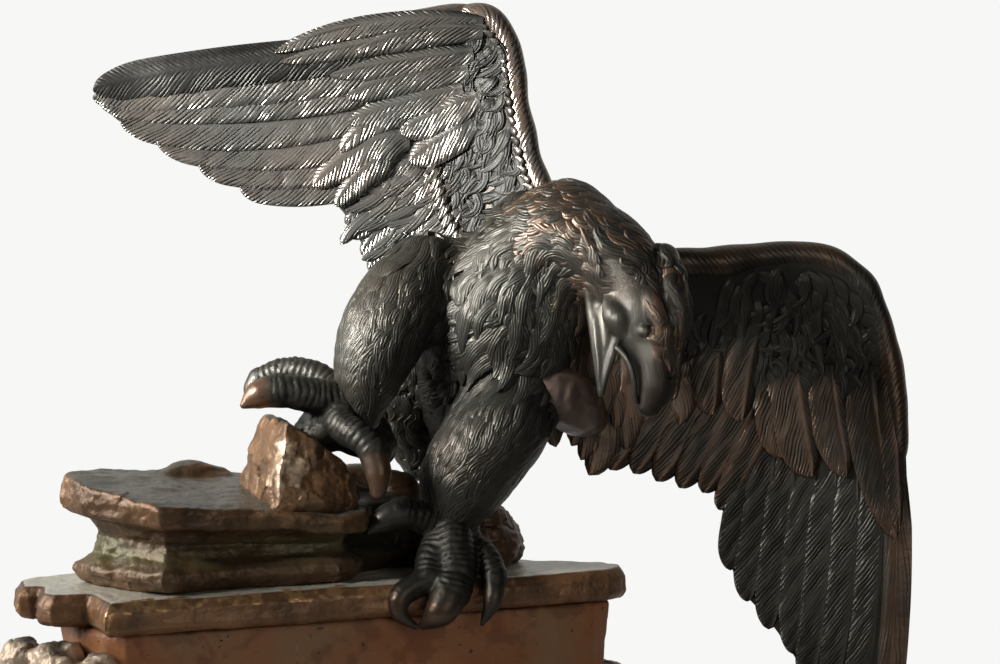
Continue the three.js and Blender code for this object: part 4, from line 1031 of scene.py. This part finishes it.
def stone(name, form, metal, nodes, relief=1.0, chip=16.0, seed=1, lines=0.0, green=None, shade=None,
          gilt=None):
    """green, shade and gilt give those shares at points: how green, how much painted shade, and how worn to gold, which
    on the knob is a painted highlight.
    """
    vertices, quads, normal, crest, hollow = hewn(form, relief, chip, seed, lines)
    patina = green(vertices) if green else 0 * crest
    # shade adds painted shade to the share of the hollow colour.
    hollow = np.clip(hollow + (shade(vertices) if shade else 0), 0, 1)
    crest = np.clip(crest + (gilt(vertices) if gilt else 0), 0, 1) * (1 - 0.7 * hollow)
    grain = np.stack([patina, normal[:, 2], noise(vertices, 20, 2)], -1)
    skin = Skin()
    skin.add(vertices, quads, grain, 0.0, crest, hollow)
    return skin.object(name, metal, place=metres, nodes=nodes, sharp=38)


def ledge_green(points):
    """Green in the waist of the ledge, most at its left end."""
    waist = np.exp(-((points[:, 2] - 115) / 5.5)**2)
    return waist * (0.8 + 0.45 * smooth(-72, -90, points[:, 0])) * (0.75 + 0.4 * noise(points, 12, 2))


def ledge_shade(points):
    """Painted shade: the end under the eagle is darkened as the shade there, the waist a little, and a lump at the back
    of the top.
    """
    x, y, z = points.T
    hump = smooth(8, 3, np.hypot((x + 60) / 2.2, y - 23) - 2) * smooth(136, 139, z)
    return smooth(-6, 3, x + 0.3 * (y + 30)) * smooth(134, 126, z) + 0.2 * np.exp(-((z - 117) / 7)**2) + 0.6 * hump


def ledge(metal):
    levels = [(100.3, 6), (105, 2.5), (108, 3), (112, 9), (118, 11), (123, 8), (126, 0), (131, -1), (146, 2)]
    cut = ((LEDGE_FALL, -LEDGE_RISE, 1), (LEDGE_TOP - 80 * LEDGE_FALL) / math.hypot(1, LEDGE_RISE, LEDGE_FALL))
    form = stone_form(LEDGE_PLAN, levels, edge=1.6, cuts=[cut], fall=LEDGE_FALL)
    form.limb([(-74, 22, 135.5), (-60, 24, 138), (-47, 26, 136.5)], [4.5, 7, 5], blend=3)
    form.limb([(-2, 15, 132), (13, 13, 134), (26, 6, 131)], [7, 7, 6.5], blend=3)
    # A post of rock under the eagle's end; ledge_shade paints it dark as shade.
    form.limb([(26, 4, 107), (26, 4, 124)], [10, 9.5], blend=3)
    stone("ledge_stone", form, metal, ["rock_ledge"], 1.1, 15, 2, lines=0.6, green=ledge_green,
          shade=ledge_shade)


def knob_painted_highlight(points):
    """Painted highlight: the knob's front left face, turned to the key lamp, is made bright with the worn colour."""
    x, y, z = points.T
    return 0.5 * smooth(-22, -30, x) * smooth(-14, -22, y) * smooth(136, 140, z) * smooth(159, 154, z)


def knob(metal):
    levels = [(120, 4), (126, 0), (132, -3), (138, -1), (144, 2), (148, 2), (156, 4), (164, 8)]
    cuts = [((0.62, 0, 0.78), 108.9), ((-0.96, -0.1, 0.25), 75.2)]
    form = stone_form(KNOB_PLAN, levels, FINE_STEP, 1.6, cuts)
    stone("perch_stone", form, metal, ["rock_perch"], 2.0, 13, 8, gilt=knob_painted_highlight)


def boulder(metal):
    form = Form((36, -26, 94), (82, 14, 132), FINE_STEP)
    form.limb([(56, -8, 110), (55, -8, 114)], [13.5, 12.5], blend=3)
    form.limb([(64, -2, 106), (64, -2, 110)], [10, 9.5], blend=3)
    block, (x, y, z) = form.everywhere()
    form.value[block] = rounded_max(form.value[block], 100.3 - z, 1.0)
    stone("boulder_stone", form, metal, ["rear_boulder"], 1.4, 9, 4, lines=0.9)


def pile(name, balls, metal, node, seed):
    centres = np.array([c for c, _ in balls], float)
    reach = max(r for _, r in balls) + 4
    form = Form(centres.min(0) - reach, centres.max(0) + reach, FINE_STEP)
    for centre, radius in balls:
        c = np.array(centre, float)
        form.limb([c - (0, 0, 1), c + (0, 0, 1)], [radius, radius], blend=4)
    stone(name, form, metal, [node], 2.2, 7, seed)


def slab_gilt(points):
    """Gold left along the slab's front top edge."""
    x, y, z = points.T
    share = 0.5 + 0.25 * noise(points, 16, 1) + 0.3 * noise(points, 2.0, 1)
    return share * smooth(94.5, 97, z) * smooth(-34, -37, y) * smooth(24, 4, x)


def plinth(metal_slab, paint, metal_ground):
    slab = stone_form(SLAB_PLAN, [(SLAB_BOTTOM, 2), (SLAB_BOTTOM + 3, 0), (SLAB_TOP - 4, 0.5), (SLAB_TOP, 3.0)], 0.8, 1.6)
    stone("slab_stone", slab, metal_slab, ["top_slab"], 0.6, 22, 5, lines=0.35, gilt=slab_gilt)
    body = stone_form(BODY_PLAN, [(18.3, 0), (30, 1), (52, 3), (70, 2), (SLAB_BOTTOM - 0.3, 0)], 1.0, 2.5)
    stone("plinth_stone", body, paint, ["plinth_body"], 0.5, 30, 6)
    ground = stone_form(GROUND_PLAN, [(3.8, 1), (8, 0), (14, 2), (18, 6)], 1.0, 2.0)
    stone("ground_stone", ground, metal_ground, ["ground_base"], 1.0, 18, 7)


# ---- Materials ----

def material(name):
    made = bpy.data.materials.new(name)
    made.use_nodes = True
    nodes = made.node_tree.nodes
    return made, nodes, made.node_tree.links, nodes["Principled BSDF"]


def node(nodes, kind, **settings):
    made = nodes.new(kind)
    for key, value in settings.items():
        if hasattr(made, key):
            setattr(made, key, value)
        else:
            made.inputs[key.replace("_", " ")].default_value = value
    return made


def math_node(nodes, links, operation, a, b=None, c=None, clamp=False):
    made = nodes.new("ShaderNodeMath")
    made.operation = operation
    made.use_clamp = clamp
    for k, value in enumerate((a, b, c)):
        if value is None:
            continue
        if isinstance(value, (int, float)):
            made.inputs[k].default_value = value
        else:
            links.new(value, made.inputs[k])
    return made.outputs[0]


def blend_colour(nodes, links, share, a, b):
    made = nodes.new("ShaderNodeMix")
    made.data_type = "RGBA"
    for socket, value in ((made.inputs[0], share), (made.inputs[6], a), (made.inputs[7], b)):
        if isinstance(value, tuple):
            socket.default_value = (*value, 1)
        elif isinstance(value, (int, float)):
            socket.default_value = value
        else:
            links.new(value, socket)
    return made.outputs[2]


def attribute(nodes, name, output="Fac"):
    made = nodes.new("ShaderNodeAttribute")
    made.attribute_name = name
    return made.outputs[output]


def noise_node(nodes, links, vector, scale, detail=4.0, roughness=0.55):
    made = nodes.new("ShaderNodeTexNoise")
    made.inputs["Scale"].default_value = scale
    made.inputs["Detail"].default_value = detail
    made.inputs["Roughness"].default_value = roughness
    if vector is not None:
        links.new(vector, made.inputs["Vector"])
    return made.outputs["Fac"]


def ramp(nodes, links, value, low, high):
    made = nodes.new("ShaderNodeMapRange")
    made.inputs["From Min"].default_value = low
    made.inputs["From Max"].default_value = high
    made.interpolation_type = "SMOOTHSTEP"
    links.new(value, made.inputs["Value"])
    return made.outputs["Result"]


def bronze(name, base, worn, hollow, roughness=0.4, metallic=0.6, line_depth=0.22, warm=0.15):
    """Patinated bronze: chased lines from grain and cut, polished where worn, dark where sheltered and where painted
    shade is given.
    """
    made, nodes, links, shader = material(name)
    place = nodes.new("ShaderNodeTexCoord").outputs["Object"]
    grain = attribute(nodes, "grain", "Vector")
    parts = nodes.new("ShaderNodeSeparateXYZ")
    links.new(grain, parts.inputs[0])
    stretch = nodes.new("ShaderNodeVectorMath")
    stretch.operation = "MULTIPLY"
    links.new(grain, stretch.inputs[0])
    stretch.inputs[1].default_value = (0.35, 0.12, 1.0)
    drift = noise_node(nodes, links, stretch.outputs[0], 1.0, 2.0)
    lines = math_node(nodes, links, "MULTIPLY_ADD", drift, 1.1, parts.outputs["X"])
    wave = math_node(nodes, links, "PINGPONG", lines, 0.5)
    groove = ramp(nodes, links, wave, 0.02, 0.42)
    stretch2 = nodes.new("ShaderNodeVectorMath")
    stretch2.operation = "MULTIPLY"
    links.new(grain, stretch2.inputs[0])
    stretch2.inputs[1].default_value = (0.9, 0.16, 1.0)
    force = ramp(nodes, links, noise_node(nodes, links, stretch2.outputs[0], 1.0, 1.0), 0.25, 0.65)
    depth = math_node(nodes, links, "MULTIPLY", attribute(nodes, "cut"), force)
    groove_depth = math_node(nodes, links, "MULTIPLY", math_node(nodes, links, "SUBTRACT", 1.0, groove), depth)

    patches = noise_node(nodes, links, place, 22.0, 5.0)
    specks = noise_node(nodes, links, place, 260.0, 3.0)
    wear = attribute(nodes, "wear")
    recess = attribute(nodes, "recess")
    polish = math_node(nodes, links, "MULTIPLY_ADD", patches, 0.9, math_node(nodes, links, "SUBTRACT", wear, 0.62))
    polish = math_node(nodes, links, "SUBTRACT", polish, math_node(nodes, links, "MULTIPLY", groove_depth, 0.35))
    polish = ramp(nodes, links, polish, 0.0, 0.55)
    # Dark in grooves and sheltered places, and where the recess values carry painted shade.
    shelter_and_shade = math_node(nodes, links, "MAXIMUM", math_node(nodes, links, "MULTIPLY", groove_depth, 0.5),
                        math_node(nodes, links, "MULTIPLY", recess, 0.9))
    shelter_and_shade = math_node(nodes, links, "MULTIPLY", shelter_and_shade, ramp(nodes, links, patches, 0.2, 0.5), clamp=True)
    tone = blend_colour(nodes, links, ramp(nodes, links, patches, 0.35, 0.7), base, tuple(b * (1 + warm * k) for b, k in zip(base, (1.6, 0.6, 0.1))))
    tone = blend_colour(nodes, links, polish, tone, worn)
    tone = blend_colour(nodes, links, shelter_and_shade, tone, hollow)
    links.new(tone, shader.inputs["Base Color"])
    shader.inputs["Metallic"].default_value = metallic
    shader.inputs["Specular IOR Level"].default_value = 0.8
    shader.inputs["Specular Tint"].default_value = (1.0, 0.98, 0.93, 1)
    rough = math_node(nodes, links, "MULTIPLY_ADD", specks, 0.16, roughness - 0.08)
    rough = math_node(nodes, links, "MULTIPLY_ADD", shelter_and_shade, 0.22, rough)
    rough = math_node(nodes, links, "MULTIPLY_ADD", polish, -0.08, rough, clamp=True)
    links.new(rough, shader.inputs["Roughness"])

    engraved = nodes.new("ShaderNodeBump")
    engraved.inputs["Distance"].default_value = line_depth * 0.001
    engraved.inputs["Strength"].default_value = 1.0
    links.new(math_node(nodes, links, "SUBTRACT", 1.0, groove_depth), engraved.inputs["Height"])
    cast = nodes.new("ShaderNodeBump")
    cast.inputs["Distance"].default_value = 0.00022
    cast.inputs["Strength"].default_value = 0.6
    links.new(noise_node(nodes, links, place, 420.0, 3.0), cast.inputs["Height"])
    links.new(engraved.outputs[0], cast.inputs["Normal"])
    links.new(cast.outputs[0], shader.inputs["Normal"])
    return made


def plain(name, colour, roughness, metallic=0.0):
    made, nodes, links, shader = material(name)
    place = nodes.new("ShaderNodeTexCoord").outputs["Object"]
    mottle = noise_node(nodes, links, place, 60.0)
    links.new(blend_colour(nodes, links, mottle, colour, tuple(0.75 * c for c in colour)), shader.inputs["Base Color"])
    links.new(math_node(nodes, links, "MULTIPLY_ADD", mottle, 0.15, roughness - 0.07), shader.inputs["Roughness"])
    shader.inputs["Metallic"].default_value = metallic
    return made


def rocky(name, base, worn, hollow, top=(0.07, 0.075, 0.06)):
    """Cold-painted bronze rock: gilt on the edges, green in the hollows of a green stone, dark elsewhere."""
    made, nodes, links, shader = material(name)
    place = nodes.new("ShaderNodeTexCoord").outputs["Object"]
    parts = nodes.new("ShaderNodeSeparateXYZ")
    links.new(attribute(nodes, "grain", "Vector"), parts.inputs[0])
    patches = noise_node(nodes, links, place, 45.0, 5.0)
    specks = noise_node(nodes, links, place, 380.0, 4.0)
    crust = noise_node(nodes, links, place, 140.0, 4.0)
    wear, recess = attribute(nodes, "wear"), attribute(nodes, "recess")
    polish = math_node(nodes, links, "ADD", wear, math_node(nodes, links, "MULTIPLY_ADD", crust, 1.4, -1.08))
    polish = ramp(nodes, links, polish, 0.0, 0.5)
    tone = blend_colour(nodes, links, ramp(nodes, links, patches, 0.35, 0.65), base, tuple(1.7 * b for b in base))
    green = math_node(nodes, links, "MULTIPLY", ramp(nodes, links, patches, 0.25, 0.6), parts.outputs["X"])
    # The hollow colour goes where the recess values are high: in hollows, and as painted shade.
    tone = blend_colour(nodes, links, math_node(nodes, links, "MULTIPLY", recess, 0.8), tone, hollow)
    tone = blend_colour(nodes, links, math_node(nodes, links, "MULTIPLY", green, 0.75), tone, (0.13, 0.14, 0.06))
    flat_top = ramp(nodes, links, parts.outputs["Y"], 0.8, 0.97)
    tone = blend_colour(nodes, links, math_node(nodes, links, "MULTIPLY", flat_top, 0.8), tone, top)
    tone = blend_colour(nodes, links, polish, tone, worn)
    links.new(tone, shader.inputs["Base Color"])
    metal = math_node(nodes, links, "MULTIPLY_ADD", polish, 0.6, 0.3)
    links.new(metal, shader.inputs["Metallic"])
    shader.inputs["Specular IOR Level"].default_value = 0.5
    rough = math_node(nodes, links, "MULTIPLY_ADD", specks, 0.3, 0.26)
    links.new(math_node(nodes, links, "MULTIPLY_ADD", flat_top, -0.08, rough), shader.inputs["Roughness"])
    bump_chain(nodes, links, shader, ((noise_node(nodes, links, place, 120.0, 5.0), 0.9), (specks, 0.35)))
    return made


def bump_chain(nodes, links, shader, layers):
    """Bumps of the given depths in millimetres, one on the other."""
    last = None
    for height, depth in layers:
        bump = nodes.new("ShaderNodeBump")
        bump.inputs["Distance"].default_value = depth * 0.001
        links.new(height, bump.inputs["Height"])
        if last:
            links.new(last, bump.inputs["Normal"])
        last = bump.outputs[0]
    links.new(last, shader.inputs["Normal"])


def painted(name):
    """The plinth's brick-red paint, rubbed brown, with small dark and pale specks."""
    made, nodes, links, shader = material(name)
    place = nodes.new("ShaderNodeTexCoord").outputs["Object"]
    patches = noise_node(nodes, links, place, 24.0, 6.0)
    specks = noise_node(nodes, links, place, 320.0, 3.0)
    tone = blend_colour(nodes, links, ramp(nodes, links, patches, 0.3, 0.7), (0.37, 0.13, 0.05), (0.33, 0.19, 0.1))
    tone = blend_colour(nodes, links, ramp(nodes, links, specks, 0.66, 0.74), tone, (0.36, 0.24, 0.15))
    tone = blend_colour(nodes, links, ramp(nodes, links, specks, 0.34, 0.26), tone, (0.03, 0.018, 0.012))
    tone = blend_colour(nodes, links, math_node(nodes, links, "MULTIPLY", attribute(nodes, "recess"), 0.7), tone,
                        (0.07, 0.03, 0.016))
    links.new(tone, shader.inputs["Base Color"])
    shader.inputs["Specular IOR Level"].default_value = 0.25
    links.new(math_node(nodes, links, "MULTIPLY_ADD", patches, 0.25, 0.3), shader.inputs["Roughness"])
    bump_chain(nodes, links, shader, ((noise_node(nodes, links, place, 90.0, 5.0), 0.8), (specks, 0.25)))
    return made


# ---- The scene ----

def build():
    dark = bronze("Dark bronze", (0.034, 0.033, 0.027), (0.13, 0.075, 0.045), (0.006, 0.006, 0.0045))
    # Painted light: a lighter, glossier copy of the dark bronze for the right wing, standing for the key lamp's light
    # on it.
    pale = bronze("Bronze with painted light", (0.1, 0.099, 0.091), (0.19, 0.14, 0.11), (0.01, 0.01, 0.009), 0.29, 0.7, 0.46)
    # Painted light: the armpit patch's bronze is lighter than the rest, partly its own brown and partly standing for
    # light where it lies in shade.
    bare = bronze("Brown bronze with painted light", (0.085, 0.055, 0.042), (0.14, 0.09, 0.068), (0.02, 0.013, 0.01), 0.46, 0.2)
    rock = rocky("Rock bronze", (0.088, 0.046, 0.02), (0.5, 0.38, 0.27), (0.016, 0.011, 0.006), (0.1, 0.1, 0.085))
    slab = rocky("Slab bronze", (0.17, 0.085, 0.038), (0.7, 0.42, 0.2), (0.03, 0.018, 0.009), (0.74, 0.72, 0.6))
    light_rock = rocky("Rock pile", (0.42, 0.32, 0.23), (0.5, 0.41, 0.33), (0.12, 0.08, 0.06))
    paint = painted("Red paint")
    steel = plain("Steel", (0.5, 0.5, 0.5), 0.35, 1.0)
    felt = plain("Felt", (0.02, 0.05, 0.03), 0.95)

    right_wing(pale)
    left_wing(dark)
    tail(dark)
    eagle(dark)
    armpit(bare)
    beak_below(dark)
    foot("foot_right_toes", FOOT_RIGHT, dark, "foot_right")
    foot("foot_left_toes", FOOT_LEFT, dark, "foot_left")
    ledge(rock)
    knob(rock)
    boulder(rock)
    left_pile = [((-120, -10, 70), 11), ((-117, 4, 48), 13), ((-110, -24, 34), 12), ((-130, 2, 70), 10),
                 ((-108, -28, 70), 9), ((-122, -22, 71), 8), ((-113, -14, 54), 14), ((-112, -8, 36), 15),
                 ((-113, 14, 34), 12), ((-108, -28, 52), 9), ((-112, 14, 60), 10)]
    pile("pile_left_stones", left_pile, light_rock, "rock_pile_left", 21)
    pile("pile_right_stones", [((102, -26, 52), 8), ((103, -22, 34), 10)], light_rock, "rock_pile_right", 22)
    plinth(slab, paint, rock)
    for name, obj in frame["nodes"].items():
        if obj.type == "MESH":
            obj.data.materials.clear()
            obj.data.materials.append(felt if name == "felt_pad" else steel)


def floor():
    made, nodes, links, shader = material("Pale floor")
    mottle = noise_node(nodes, links, nodes.new("ShaderNodeTexCoord").outputs["Object"], 3.0)
    links.new(blend_colour(nodes, links, mottle, (0.82, 0.82, 0.81), (0.8, 0.8, 0.79)), shader.inputs["Base Color"])
    shader.inputs["Roughness"].default_value = 0.7
    angle = np.linspace(0, 2 * np.pi, 96, endpoint=False)
    ring = np.stack([np.cos(angle), np.sin(angle), 0 * angle], 1) * FLOOR_RADIUS * 0.001
    mesh = bpy.data.meshes.new("floor")
    mesh.from_pydata([tuple(p) for p in ring], [], [list(range(len(ring)))])
    mesh.materials.append(made)
    obj = bpy.data.objects.new("floor", mesh)
    bpy.context.scene.collection.objects.link(obj)


def eagle_point(u, w, z):
    return to_row(np.array([u, w, z], float))


def aim(obj, target):
    from mathutils import Vector
    direction = Vector(target) - obj.location
    obj.rotation_euler = direction.to_track_quat("-Z", "Y").to_euler()


def area(name, at, size, power, colour=(1, 1, 1), target=CAMERA_TARGET, spread=180.0):
    """A softbox at a place in the eagle's frame, aimed at a target, with its light held within spread degrees."""
    light = bpy.data.lights.new(name, "AREA")
    light.shape = "RECTANGLE"
    light.size, light.size_y = (s * 0.001 for s in size)
    light.energy = power
    light.color = colour
    light.spread = math.radians(spread)
    obj = bpy.data.objects.new(name, light)
    obj.location = eagle_point(*at)
    aim(obj, eagle_point(*target))
    bpy.context.scene.collection.objects.link(obj)


def world():
    """A dark studio with a white backdrop: bright behind the eagle, dim before it, near white to the camera."""
    made = bpy.data.worlds.new("Studio")
    bpy.context.scene.world = made
    made.use_nodes = True
    nodes, links = made.node_tree.nodes, made.node_tree.links
    behind = nodes.new("ShaderNodeVectorMath")
    behind.operation = "DOT_PRODUCT"
    links.new(nodes.new("ShaderNodeTexCoord").outputs["Generated"], behind.inputs[0])
    behind.inputs[1].default_value = tuple(unit(eagle_point(0, 1, 0)))
    surround = nodes["Background"]
    links.new(blend_colour(nodes, links, ramp(nodes, links, behind.outputs["Value"], 0.05, 0.7), DIM, BACKDROP),
              surround.inputs["Color"])
    seen = nodes.new("ShaderNodeBackground")
    seen.inputs["Color"].default_value = (0.93, 0.935, 0.92, 1)
    mix = nodes.new("ShaderNodeMixShader")
    links.new(nodes.new("ShaderNodeLightPath").outputs["Is Camera Ray"], mix.inputs[0])
    links.new(surround.outputs[0], mix.inputs[1])
    links.new(seen.outputs[0], mix.inputs[2])
    links.new(mix.outputs[0], nodes["World Output"].inputs[0])


def camera():
    data = bpy.data.cameras.new("camera")
    data.lens = CAMERA_LENS
    data.sensor_width = 36.0
    data.clip_start = 0.01
    obj = bpy.data.objects.new("camera", data)
    tilt = math.radians(CAMERA_ELEVATION)
    u, w, z = CAMERA_TARGET
    obj.location = eagle_point(u, w - CAMERA_DISTANCE * math.cos(tilt), z + CAMERA_DISTANCE * math.sin(tilt))
    aim(obj, eagle_point(u, w, z))
    bpy.context.scene.collection.objects.link(obj)
    bpy.context.scene.camera = obj


build()
floor()
world()
area("Key", (-350, -200, 400), (170, 170), 1.75, (1, 0.985, 0.96), (-120, 10, 310), 46.0)
area("Left", (-480, -60, 330), (260, 360), 1.15, (1, 0.985, 0.96), (-20, 0, 200), 110.0)
area("Face", (-60, -480, 250), (30, 30), 0.009, (1, 0.985, 0.96), (102, -30, 201), 7.0)
area("Fill", (450, -850, 350), (500, 500), 1.0, (1, 0.97, 0.92))
camera()
bpy.context.scene.view_settings.view_transform = "Standard"
